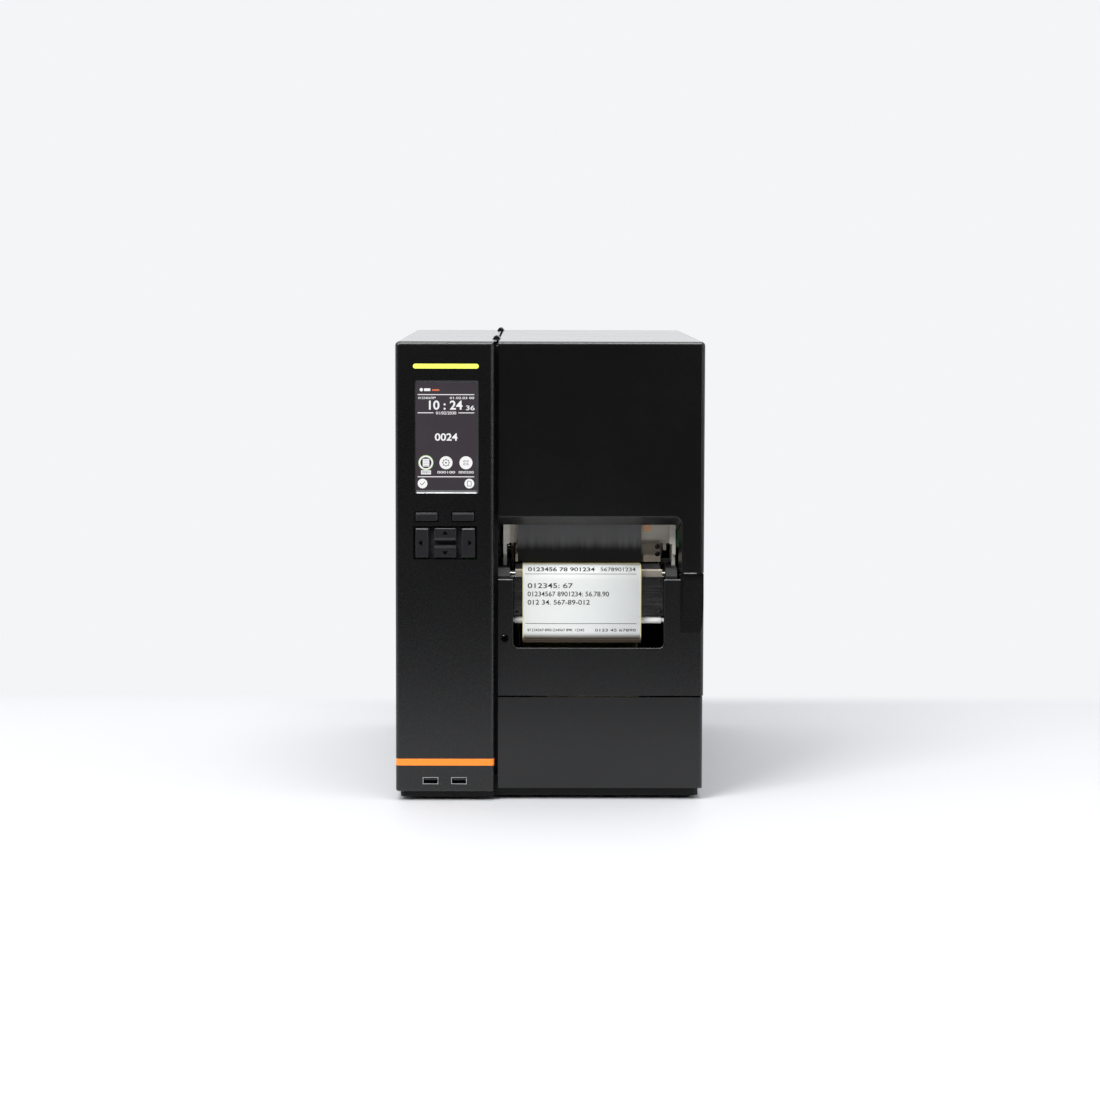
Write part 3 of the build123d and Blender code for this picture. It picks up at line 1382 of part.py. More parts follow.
with BuildPart() as head_lever:
    tip_y = latch_y + lever_length
    tip_z = latch_z + lever_tip_radius
    with BuildSketch(facing_right(lever_x)):
        wrapped((latch_y, latch_z, lever_hub_radius * lever_waist_share), (tip_y, tip_z, lever_tip_radius))
        with Locations((latch_y, latch_z)):
            Circle(lever_hub_radius)
            Circle(latch_radius, mode=Mode.SUBTRACT)
    extrude(amount=lever_width)
    chamfer(faces().sort_by(Axis.X)[-1].outer_wire().edges(), tear_land * middle_share)
head_lever.part.label = "head_lever"

# Head carrier: angle plate with two arms on the pivot pins, and ears for the ribbon bars
bar_ear_xs = ((carrier_left_x, carrier_left_x + carrier_sheet),
              (carrier_right_x - carrier_sheet, carrier_right_x))
with BuildPart() as head_carrier:
    block((carrier_left_x, carrier_right_x), (carrier_front_y, carrier_front_y + carrier_sheet),
          (carrier_low_z, carrier_top_z))
    block((carrier_left_x, carrier_right_x), (carrier_front_y, carrier_rear_y),
          (carrier_top_z - carrier_sheet, carrier_top_z))
    block((carrier_right_x - carrier_tab_inset - carrier_tab_width, carrier_right_x - carrier_tab_inset),
          (carrier_front_y, carrier_front_y + carrier_sheet),
          (carrier_low_z - carrier_tab_drop, carrier_low_z))
    for arm_x in (arm_left_x, arm_right_x - carrier_sheet):
        with BuildSketch(facing_right(arm_x)):
            with BuildLine():
                Polyline((carrier_front_y + carrier_sheet, carrier_low_z),
                         (carrier_front_y + carrier_sheet, carrier_top_z),
                         (carrier_rear_y, carrier_top_z),
                         (head_pivot_y + arm_end_radius * middle_share, head_pivot_z + arm_end_radius),
                         (head_pivot_y + arm_end_radius * middle_share,
                          head_pivot_z - arm_end_radius * middle_share),
                         (head_pivot_y - arm_end_radius, head_pivot_z - arm_end_radius * middle_share),
                         close=True)
            make_face()
            with Locations((head_pivot_y, head_pivot_z)):
                Circle(arm_end_radius)
                Circle(head_pin_radius + running_gap, mode=Mode.SUBTRACT)
        extrude(amount=carrier_sheet)
    for ear_xs in bar_ear_xs:
        with BuildSketch(facing_right(ear_xs[0])):
            with Locations((front_bar_y, front_bar_z)):
                Circle(ribbon_bar_radius)
            with BuildLine():
                Polyline((front_bar_y - ribbon_bar_radius * middle_share, front_bar_z),
                         (carrier_front_y, carrier_top_z - carrier_sheet),
                         (carrier_front_y + bar_ear, carrier_top_z - carrier_sheet),
                         (front_bar_y + ribbon_bar_radius, front_bar_z), close=True)
            make_face()
        extrude(amount=ear_xs[1] - ear_xs[0])
    rod((carrier_left_x, carrier_right_x), front_bar_y, front_bar_z, ribbon_bar_radius)
    rod((arm_left_x, arm_right_x), rear_bar_y, rear_bar_z, ribbon_bar_radius)
head_carrier.part.label = "head_carrier"

# Print head: heat sink with a contact edge below, held between the arms
with BuildPart() as printhead:
    with BuildSketch(facing_right(head_left_x)):
        with BuildLine():
            Polyline((nip_tip_y, head_bottom_z),
                     (head_front_y - head_cap_chamfer * middle_share, head_step_z),
                     (head_front_y, head_step_z + head_cap_chamfer), (head_front_y, carrier_low_z),
                     (carrier_front_y, carrier_low_z), (carrier_front_y, carrier_low_z - head_cap_chamfer),
                     (head_rear_y, carrier_low_z - head_cap_chamfer), (head_rear_y, head_step_z),
                     (nip_tip_y + head_contact + head_cap_chamfer, head_step_z),
                     (nip_tip_y + head_contact, head_bottom_z),
                     close=True)
        make_face()
    extrude(amount=head_right_x - head_left_x)
    block((head_left_x, head_right_x), (carrier_front_y + carrier_sheet, head_rear_y),
          (carrier_low_z - head_cap_chamfer, carrier_top_z - carrier_sheet))
    block((head_left_x - cut_overrun, head_right_x + cut_overrun),
          (carrier_front_y + carrier_sheet + head_fin_width, head_rear_y - head_fin_width),
          (carrier_low_z + head_fin_width, carrier_top_z + cut_overrun), Mode.SUBTRACT)
printhead.part.label = "printhead"

# Sensor board on the right head plate
plate_outer_x = head_frame_right_x + head_side_sheet
with BuildPart() as sensor_board:
    sensor_x = plate_outer_x + sensor_standoff
    block((sensor_x, sensor_x + board_thickness), (sensor_front_y, sensor_front_y + sensor_width),
          (sensor_low_z, sensor_low_z + sensor_height))
    with BuildSketch(facing_right(plate_outer_x)):
        with Locations((sensor_front_y + sensor_width * middle_share,
                        sensor_low_z + sensor_height * middle_share)):
            with GridLocations(sensor_width * middle_share, sensor_height * middle_share, 2, 1):
                Circle(sensor_standoff)
    extrude(amount=sensor_standoff)
sensor_board.part.label = "sensor_board"


# Ribbon: two spindles with their rolls, and the film that passes under the head
def spindle(y, z, hub_radius, end_x, collar_x, collar_radius):
    """Add a spindle: shaft through the wall, collar, and hub with an eased nose."""
    rod((gearbox_right_x - shaft_into_gearbox, collar_x), y, z, spindle_shaft_radius)
    rod((collar_x, collar_x + spindle_collar), y, z, collar_radius)
    rod((collar_x + spindle_collar, end_x), y, z, hub_radius)
    chamfer(faces().sort_by(Axis.X)[-1].edges(), spindle_nose)


ribbon_core_x = film_left_x - seat_gap
ribbon_collar_x = ribbon_core_x - spindle_collar
ribbon_hub_radius = ribbon_core_radius - spindle_fin - running_gap


def ribbon_spindle(y, z):
    """Add a ribbon spindle, with fins that grip the core of its roll."""
    spindle(y, z, ribbon_hub_radius, spindle_end_x, ribbon_collar_x, spindle_collar_radius)
    with BuildSketch(facing_right(ribbon_core_x)) as fins:
        with Locations((y, z)):
            with PolarLocations(ribbon_hub_radius, spindle_fin_count):
                Rectangle(2 * (spindle_fin - fin_clearance), spindle_fin_width)
    extrude(fins.sketch, amount=spindle_end_x - ribbon_core_x - 2 * spindle_nose)


with BuildPart() as ribbon_supply_spindle:
    ribbon_spindle(ribbon_supply_y, ribbon_supply_z)
ribbon_supply_spindle.part.label = "ribbon_supply_spindle"

with BuildPart() as ribbon_rewind_spindle:
    ribbon_spindle(ribbon_rewind_y, ribbon_rewind_z)
ribbon_rewind_spindle.part.label = "ribbon_rewind_spindle"


def ribbon_roll(y, z, radius):
    """Add a ribbon roll: its core, a little wider than the film, with the film wound on it."""
    core_outer = ribbon_core_radius + ribbon_core_wall
    tube((ribbon_core_x, film_right_x + spindle_collar), y, z, core_outer, ribbon_core_radius)
    tube((film_left_x, film_right_x), y, z, radius, core_outer)


with BuildPart() as ribbon_supply_roll:
    ribbon_roll(ribbon_supply_y, ribbon_supply_z, ribbon_supply_radius)
ribbon_supply_roll.part.label = "ribbon_supply_roll"

with BuildPart() as ribbon_rewind_roll:
    ribbon_roll(ribbon_rewind_y, ribbon_rewind_z, ribbon_rewind_radius)
ribbon_rewind_roll.part.label = "ribbon_rewind_roll"

web_nip_high_z = platen_z + platen_radius + seat_gap + web_thickness
film_low_z = web_nip_high_z + nip_film_gap
film_path = [
    (ribbon_supply_y, ribbon_supply_z, ribbon_supply_radius + seat_gap, 1),
    (rear_bar_y, rear_bar_z, ribbon_bar_radius + seat_gap, 1),
    (nip_tip_y, film_low_z + film_thickness + nip_tip_radius, nip_tip_radius, 1),
    (front_bar_y, front_bar_z, ribbon_bar_radius + seat_gap, 1),
    (ribbon_rewind_y, ribbon_rewind_z, ribbon_rewind_radius + seat_gap, 1),
]
with BuildPart() as ribbon_web:
    band(film_path, (film_left_x, film_right_x), film_thickness)
ribbon_web.part.label = "ribbon_web"

# Labels: supply spindle, roll, guard, damper bar, guide, web, and the rewinder
supply_bar_z = label_roll_z + label_core_radius - supply_bar_radius - seat_gap
with BuildPart() as supply_spindle:
    rod((bay_left_x, bay_left_x + supply_flange), label_roll_y, supply_bar_z, supply_flange_radius)
    rod((bay_left_x + supply_flange, supply_bar_end_x), label_roll_y, supply_bar_z, supply_bar_radius)
    rod((bay_left_x + supply_flange, web_left_x - seat_gap), label_roll_y, supply_bar_z, supply_hub_radius)
    chamfer(faces().sort_by(Axis.X)[-1].edges(), spindle_nose)
supply_spindle.part.label = "supply_spindle"

with BuildPart() as label_roll:
    tube((web_left_x, web_right_x), label_roll_y, label_roll_z, label_roll_radius, label_core_radius)
label_roll.part.label = "label_roll"

guard_left_x = web_right_x + seat_gap
with BuildPart() as roll_guard:
    tube((guard_left_x, guard_left_x + guard_collar), label_roll_y, supply_bar_z, guard_collar_radius,
         supply_bar_radius + running_gap)
    with BuildSketch(facing_right(guard_left_x)):
        with Locations((label_roll_y, supply_bar_z)):
            SlotOverall(2 * guard_radius + 2 * guard_collar_radius, 2 * guard_collar_radius, rotation=90)
            Circle(supply_bar_radius + running_gap, mode=Mode.SUBTRACT)
    extrude(amount=guard_thickness)
roll_guard.part.label = "roll_guard"

with BuildPart() as damper_bar:
    damper_arm_right_x = damper_arm_left_x + damper_arm_sheet
    with BuildSketch(facing_right(damper_arm_left_x)):
        wrapped((damper_pivot_y, damper_pivot_z, damper_arm_radius),
                (damper_bar_y, damper_bar_z, damper_bar_radius))
        with Locations((damper_pivot_y, damper_pivot_z)):
            Circle(damper_pin_radius + running_gap, mode=Mode.SUBTRACT)
    extrude(amount=damper_arm_sheet)
    rod((damper_arm_right_x, damper_end_x), damper_bar_y, damper_bar_z, damper_bar_radius)
    chamfer(faces().sort_by(Axis.X)[-1].edges(), spindle_nose * middle_share)
damper_bar.part.label = "damper_bar"

front_bend_y = web_hang_y + front_bend_radius + web_thickness
bottom_bend_y = web_hang_y + bottom_bend_radius + web_thickness
web_path = [
    (label_roll_y, label_roll_z, label_roll_radius + seat_gap, -1),
    (damper_bar_y, damper_bar_z, damper_bar_radius + seat_gap, 1),
    (platen_y, platen_z, platen_radius + seat_gap, -1),
    (front_bend_y, platen_z + platen_radius + seat_gap - front_bend_radius, front_bend_radius, -1),
    (bottom_bend_y, web_bottom_z + web_thickness + bottom_bend_radius, bottom_bend_radius, -1),
    (rewind_y, rewind_z, rewind_radius + seat_gap, 1),
]
with BuildPart() as label_web:
    band(web_path, (web_left_x, web_right_x), web_thickness)
label_web.part.label = "label_web"

with BuildPart() as rewind_spindle:
    spindle(rewind_y, rewind_z, rewind_hub_radius, spindle_end_x, rewind_disc_x, rewind_disc_radius)
    block((rewind_disc_x + spindle_collar, spindle_end_x + cut_overrun),
          (rewind_y - rewind_slot / 2, rewind_y + rewind_slot / 2),
          (rewind_z + rewind_hub_radius * middle_share, rewind_z + rewind_hub_radius + cut_overrun),
          Mode.SUBTRACT)
rewind_spindle.part.label = "rewind_spindle"

with BuildPart() as rewind_roll:
    tube((web_left_x, web_right_x), rewind_y, rewind_z, rewind_radius, rewind_hub_radius)
rewind_roll.part.label = "rewind_roll"

# Media guide: an upright edge on a shoe that slides along the rear beam
guide_slide_x = web_right_x + seat_gap
guide_shoe_front_y = beam_rear_front_y - running_gap
guide_shoe_rear_y = cheek_rear_y + running_gap
guide_right_face_x = guide_slide_x + guide_slide_width
with BuildPart() as media_guide:
    block((guide_right_face_x - guide_shoe_width, guide_right_face_x),
          (guide_shoe_front_y - guide_shoe_wall, guide_shoe_rear_y + guide_shoe_wall),
          (beam_rear_low_z, beam_rear_high_z + running_gap + guide_shoe_wall))
    block((guide_slide_x - guide_shoe_width - cut_overrun, guide_right_face_x + cut_overrun),
          (guide_shoe_front_y, guide_shoe_rear_y),
          (beam_rear_low_z - cut_overrun, beam_rear_high_z + running_gap), Mode.SUBTRACT)
    block((guide_slide_x, guide_right_face_x),
          (guide_shoe_front_y - guide_shoe_wall, guide_shoe_front_y - guide_shoe_wall + guide_slide_length),
          (beam_rear_high_z + running_gap, beam_rear_high_z + guide_slide_height))
media_guide.part.label = "media_guide"

# Media door: front, top and right side in one piece, with the chute cut through its front
door_left_x = bay_left_x + seat_gap
door_lower_front_y = main_front_y + cover_return + door_corner_gap
door_rear_y = panel_front_y - door_rear_gap
door_inner_x = right_x - door_sheet
door_inner_z = top_z - door_sheet
door_inner_y = main_front_y + moulding_wall
chute_rear_y = main_front_y + chute_depth
with BuildPart() as media_door:
    block((door_left_x, right_x), (main_front_y, door_rear_y), (door_side_low_z, top_z))
    door_front_upright = edges().filter_by(Axis.Z).group_by(Axis.Y)[0].sort_by(Axis.X)[-1]
    door_top_front = edges().filter_by(Axis.X).group_by(Axis.Z)[-1].sort_by(Axis.Y)[0]
    door_top_right = edges().filter_by(Axis.Y).group_by(Axis.Z)[-1].sort_by(Axis.X)[-1]
    fillet([door_front_upright, door_top_front, door_top_right], edge_radius)
    block((door_left_x - cut_overrun, door_inner_x), (door_inner_y, door_rear_y - door_sheet),
          (door_side_low_z - cut_overrun, door_inner_z), Mode.SUBTRACT)
    block((door_left_x - cut_overrun, door_inner_x - door_flange),
          (door_rear_y - door_sheet - cut_overrun, door_rear_y + cut_overrun),
          (door_side_low_z - cut_overrun, door_inner_z - door_flange), Mode.SUBTRACT)
    block((door_left_x - cut_overrun, right_x + cut_overrun),
          (main_front_y - cut_overrun, door_lower_front_y),
          (door_side_low_z - cut_overrun, door_front_low_z), Mode.SUBTRACT)
    block((door_left_x, chute_right_x + chute_lip), (door_inner_y, chute_rear_y),
          (door_front_low_z, chute_top_z + chute_bevel_top))
    with BuildSketch(facing_front(chute_rear_y)):
        with Locations((middle(door_left_x - chute_outer_radius, chute_right_x),
                        middle(door_front_low_z - chute_lip * 2, chute_top_z))):
            RectangleRounded(chute_right_x - door_left_x + chute_outer_radius,
                             chute_top_z - door_front_low_z + chute_lip * 2, chute_radius)
    with BuildSketch(facing_front(main_front_y)):
        with Locations((middle(door_left_x - chute_outer_radius, chute_right_x + chute_bevel_side),
                        middle(door_front_low_z - chute_lip * 2, chute_top_z + chute_bevel_top))):
            RectangleRounded(chute_right_x + chute_bevel_side - door_left_x + chute_outer_radius,
                             chute_top_z + chute_bevel_top - door_front_low_z + chute_lip * 2,
                             chute_outer_radius)
    loft(mode=Mode.SUBTRACT)
    block((door_left_x - cut_overrun, door_left_x + chute_outer_radius),
          (main_front_y - cut_overrun, chute_rear_y + cut_overrun),
          (door_front_low_z - cut_overrun, chute_top_z), Mode.SUBTRACT)
    chute_rim = edges().filter_by_position(Axis.Y, main_front_y - seat_gap, main_front_y + seat_gap)
    chute_rim = chute_rim.filter_by_position(Axis.Z, door_front_low_z + seat_gap,
                                             chute_top_z + chute_bevel_top + seat_gap)
    fillet(chute_rim.filter_by_position(Axis.X, door_left_x + seat_gap,
                                        chute_right_x + chute_bevel_side + seat_gap), chute_ease)
    with BuildSketch(facing_right(door_inner_x - cut_overrun)):
        with Locations((middle(window_front_y, window_rear_y), middle(window_low_z, window_high_z))):
            RectangleRounded(window_rear_y - window_front_y, window_high_z - window_low_z, window_radius)
    extrude(amount=door_sheet + 2 * cut_overrun, mode=Mode.SUBTRACT)
    for hinge_low_y, hinge_high_y in hinge_spans:
        block((door_left_x - cut_overrun, hinge_x + knuckle_radius + hinge_relief),
              (hinge_low_y - hinge_relief, hinge_high_y + hinge_relief),
              (door_inner_z - cut_overrun, top_z + cut_overrun), Mode.SUBTRACT)
media_door.part.label = "media_door"

with BuildPart() as door_window:
    with BuildSketch(facing_right(door_inner_x - pane_thickness)):
        with Locations((middle(window_front_y, window_rear_y), middle(window_low_z, window_high_z))):
            RectangleRounded(window_rear_y - window_front_y + 2 * pane_lap,
                             window_high_z - window_low_z + 2 * pane_lap,
                             window_radius + pane_lap)
    extrude(amount=pane_thickness)
    with BuildSketch(facing_right(door_inner_x)):
        with Locations((middle(window_front_y, window_rear_y), middle(window_low_z, window_high_z))):
            RectangleRounded(window_rear_y - window_front_y - 2 * pane_gap,
                             window_high_z - window_low_z - 2 * pane_gap,
                             window_radius - pane_gap)
    extrude(amount=door_sheet - pane_gap)
door_window.part.label = "door_window"

# Hinges: two, each with three knuckles on one pin
knuckle_length = (hinge_length - 2 * knuckle_gap) / 3


def knuckle(start_y):
    """Add one round knuckle along Y."""
    with BuildSketch(facing_front(start_y + knuckle_length)) as profile:
        with Locations((hinge_x, top_z)):
            Circle(knuckle_radius)
    extrude(profile.sketch, amount=knuckle_length)


pin_bore = hinge_pin_radius + hinge_bore_gap
with BuildPart() as hinge_frame_leaves:
    for hinge_low_y, hinge_high_y in hinge_spans:
        for knuckle_y in (hinge_low_y, hinge_high_y - knuckle_length):
            knuckle(knuckle_y)
            block((column_right_x - leaf_thickness, column_right_x), (knuckle_y, knuckle_y + knuckle_length),
                  (top_z - frame_leaf_length, top_z - hinge_pin_radius))
        block((column_right_x - leaf_thickness, column_right_x), (hinge_low_y, hinge_high_y),
              (top_z - frame_leaf_length, top_z - knuckle_radius - hinge_relief))
        with BuildSketch(facing_front(hinge_high_y + cut_overrun)):
            with Locations((hinge_x, top_z)):
                Circle(hinge_pin_radius)
        extrude(amount=hinge_length + 2 * cut_overrun, mode=Mode.SUBTRACT)
hinge_frame_leaves.part.label = "hinge_frame_leaves"

with BuildPart() as hinge_door_leaves:
    for hinge_low_y, hinge_high_y in hinge_spans:
        knuckle(hinge_low_y + knuckle_length + knuckle_gap)
        block((hinge_x, bay_left_x + door_leaf_length),
              (hinge_low_y + knuckle_length + knuckle_gap, hinge_low_y + 2 * knuckle_length + knuckle_gap),
              (door_inner_z - leaf_thickness, door_inner_z))
        block((hinge_x + knuckle_radius + hinge_relief, bay_left_x + door_leaf_length),
              (hinge_low_y, hinge_high_y),
              (door_inner_z - leaf_thickness, door_inner_z))
        with BuildSketch(facing_front(hinge_high_y + cut_overrun)):
            with Locations((hinge_x, top_z)):
                Circle(pin_bore)
        extrude(amount=hinge_length + 2 * cut_overrun, mode=Mode.SUBTRACT)
hinge_door_leaves.part.label = "hinge_door_leaves"

with BuildPart() as hinge_pins:
    for hinge_low_y, hinge_high_y in hinge_spans:
        with BuildSketch(facing_front(hinge_high_y)):
            with Locations((hinge_x, top_z)):
                Circle(hinge_pin_radius)
        extrude(amount=hinge_length)
hinge_pins.part.label = "hinge_pins"

# Lower front cover: window, screw hole, ears and finger scoop
cover_return_y = main_front_y + cover_return
with BuildPart() as lower_front_cover:
    block((bay_left_x, right_x), (main_front_y, cover_return_y), (seam_high_z, lower_cover_top_z))
    cover_upright = edges().filter_by(Axis.Z).group_by(Axis.Y)[0].sort_by(Axis.X)[-1]
    fillet(cover_upright, edge_radius)
    block((bay_left_x - cut_overrun, right_x - moulding_wall),
          (main_front_y + moulding_wall, cover_return_y + cut_overrun),
          (seam_high_z - cut_overrun, lower_cover_top_z + cut_overrun), Mode.SUBTRACT)
    block((bay_left_x - cut_overrun, ear_right_x),
          (main_front_y - cut_overrun, main_front_y + moulding_wall + cut_overrun),
          (ear_top_z, lower_cover_top_z + cut_overrun), Mode.SUBTRACT)
    with BuildSketch(facing_front(main_front_y + moulding_wall + cut_overrun)):
        with Locations((middle(cover_window_left_x, cover_window_right_x),
                        middle(cover_window_low_z, lower_cover_top_z + cut_overrun + cover_window_radius))):
            RectangleRounded(cover_window_right_x - cover_window_left_x,
                             lower_cover_top_z + cut_overrun + cover_window_radius - cover_window_low_z,
                             cover_window_radius)
    extrude(amount=moulding_wall + 2 * cut_overrun, mode=Mode.SUBTRACT)
    front_rim = edges().filter_by_position(Axis.Y, main_front_y - seat_gap, main_front_y + seat_gap)
    fillet(front_rim.filter_by_position(Axis.Z, ear_top_z - seat_gap, ear_top_z + seat_gap), ear_ease)
    window_rim = edges().filter_by_position(Axis.Y, main_front_y - seat_gap, main_front_y + seat_gap)
    window_rim = window_rim.filter_by_position(Axis.X, cover_window_left_x - seat_gap,
                                               cover_window_right_x + seat_gap)
    fillet(window_rim.filter_by_position(Axis.Z, cover_window_low_z - seat_gap, ear_top_z - ear_ease),
           cover_ease)
    with BuildSketch(facing_front(main_front_y + screw_hole_depth)):
        with Locations((screw_hole_x, screw_hole_z)):
            Circle(screw_hole_radius)
    extrude(amount=screw_hole_depth, mode=Mode.SUBTRACT)
    block((ear_right_x, right_x - moulding_wall),
          (main_front_y + moulding_wall, main_front_y + moulding_wall + scoop_backing),
          (scoop_low_z, lower_cover_top_z))
    with BuildSketch(facing_right(ear_right_x)):
        with BuildLine():
            Polyline((main_front_y, scoop_low_z), (main_front_y + scoop_depth, lower_cover_top_z),
                     (main_front_y, lower_cover_top_z), close=True)
        make_face()
    extrude(amount=right_x - ear_right_x, mode=Mode.SUBTRACT)
lower_front_cover.part.label = "lower_front_cover"

# Bottom cover: front strip and right side in one folded piece
side_right_x = right_x - side_inset
with BuildPart() as bottom_cover:
    block((bay_left_x, side_right_x), (main_front_y, panel_front_y), (main_bottom_z, seam_low_z))
    bottom_upright = edges().filter_by(Axis.Z).group_by(Axis.Y)[0].sort_by(Axis.X)[-1]
    fillet(bottom_upright, edge_radius)
    block((bay_left_x - cut_overrun, side_right_x - cover_sheet),
          (main_front_y + moulding_wall, panel_front_y + cut_overrun),
          (main_bottom_z - cut_overrun, seam_low_z + cut_overrun), Mode.SUBTRACT)
bottom_cover.part.label = "bottom_cover"

pieces = [
    base_pan, feet, chassis_wall, shaft_bushes, electronics_cover, front_bezel, trim_strip, light_bar,
    display_frame, touch_screen, select_key_left, select_key_right, key_left, key_right, key_up, key_down,
    panel_board, usb_ports, rear_panel, power_inlet, power_rocker, main_board, rear_connectors, power_supply,
    platen_motor, motor_pulley, drive_belt, platen_shaft, platen_roller, spindle_motors, print_frame,
    tear_bar, guide_plate, guide_bar, head_frame, latch_shaft, head_lever, head_carrier, printhead,
    sensor_board,
    ribbon_supply_spindle, ribbon_rewind_spindle, ribbon_supply_roll, ribbon_rewind_roll, ribbon_web,
    supply_spindle, label_roll, roll_guard, damper_bar, label_web, rewind_spindle, rewind_roll, media_guide,
    media_door, door_window, hinge_frame_leaves, hinge_door_leaves, hinge_pins, lower_front_cover,
    bottom_cover,
]
for piece in pieces:
    export_step(piece.part, "parts/" + piece.part.label + ".step")
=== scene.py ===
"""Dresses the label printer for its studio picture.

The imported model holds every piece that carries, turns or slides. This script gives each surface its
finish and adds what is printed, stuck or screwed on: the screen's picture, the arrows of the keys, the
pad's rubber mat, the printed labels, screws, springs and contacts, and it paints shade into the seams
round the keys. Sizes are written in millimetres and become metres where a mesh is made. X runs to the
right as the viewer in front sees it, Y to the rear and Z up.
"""
import logging
import math
from collections.abc import Callable, Iterable, Sequence
from dataclasses import dataclass, field, replace
from enum import Enum
from typing import Any, Union

import bmesh
import bpy
from mathutils import Matrix, Vector

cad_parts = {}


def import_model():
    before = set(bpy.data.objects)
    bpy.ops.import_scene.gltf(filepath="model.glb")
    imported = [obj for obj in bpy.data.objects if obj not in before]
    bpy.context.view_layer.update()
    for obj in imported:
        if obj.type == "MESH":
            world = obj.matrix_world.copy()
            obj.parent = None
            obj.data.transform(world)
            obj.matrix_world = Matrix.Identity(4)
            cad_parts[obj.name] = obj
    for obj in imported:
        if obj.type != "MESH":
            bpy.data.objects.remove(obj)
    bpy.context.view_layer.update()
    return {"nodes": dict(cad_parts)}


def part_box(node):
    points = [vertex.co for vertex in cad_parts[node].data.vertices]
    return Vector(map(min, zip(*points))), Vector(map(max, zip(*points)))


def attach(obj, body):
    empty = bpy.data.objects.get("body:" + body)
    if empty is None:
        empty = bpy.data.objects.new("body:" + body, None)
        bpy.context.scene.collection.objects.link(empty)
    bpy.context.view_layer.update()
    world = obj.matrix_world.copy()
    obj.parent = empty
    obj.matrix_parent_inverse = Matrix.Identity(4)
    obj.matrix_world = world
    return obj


MM = 0.001
LOG = logging.getLogger("label_printer")
MIX_FACTOR, MIX_FIRST, MIX_SECOND, MIX_RESULT = 0, 6, 7, 2
EDGE_ROUGHNESS = 0.14

Colour = tuple[float, float, float]
Span = tuple[float, float]
Spot = tuple[float, float]
Place = tuple[float, float, float]
Placement = Callable[[float, float], Vector]
Term = Union[float, int, "Value"]


def swatch(red: int, green: int, blue: int) -> Colour:
    """Turns a colour as a screen shows it into the scene's linear colour.

    Args:
        red: Red from 0 to 255.
        green: Green from 0 to 255.
        blue: Blue from 0 to 255.

    Returns:
        The same colour in linear light, from 0 to 1.
    """
    def linear(level: int) -> float:
        """Undoes the screen's curve for one channel."""
        share = level / 255
        return share / 12.92 if share <= 0.04045 else ((share + 0.055) / 1.055) ** 2.4

    return linear(red), linear(green), linear(blue)


def scaled(colour: Colour, share: float) -> Colour:
    """Gives a colour made lighter or darker by a share."""
    return colour[0] * share, colour[1] * share, colour[2] * share


def metres(lengths: Iterable[float]) -> tuple[float, ...]:
    """Turns millimetres into metres."""
    return tuple(length * MM for length in lengths)


def circle(across: float, up: float, radius: float, sides: int) -> list[Spot]:
    """Gives points round a circle.

    Args:
        across: The middle's place across.
        up: The middle's height.
        radius: The circle's radius.
        sides: How many points it has.

    Returns:
        The points, anticlockwise from the one on the right.
    """
    turns = [2 * math.pi * side / sides for side in range(sides)]
    return [(across + radius * math.cos(turn), up + radius * math.sin(turn)) for turn in turns]


def add_object(name: str, data: bpy.types.ID) -> bpy.types.Object:
    """Makes an object and puts it into the scene.

    Args:
        name: The object's name.
        data: Its mesh, curve, light or camera.

    Returns:
        The object.
    """
    made = bpy.data.objects.new(name, data)
    bpy.context.scene.collection.objects.link(made)
    return made


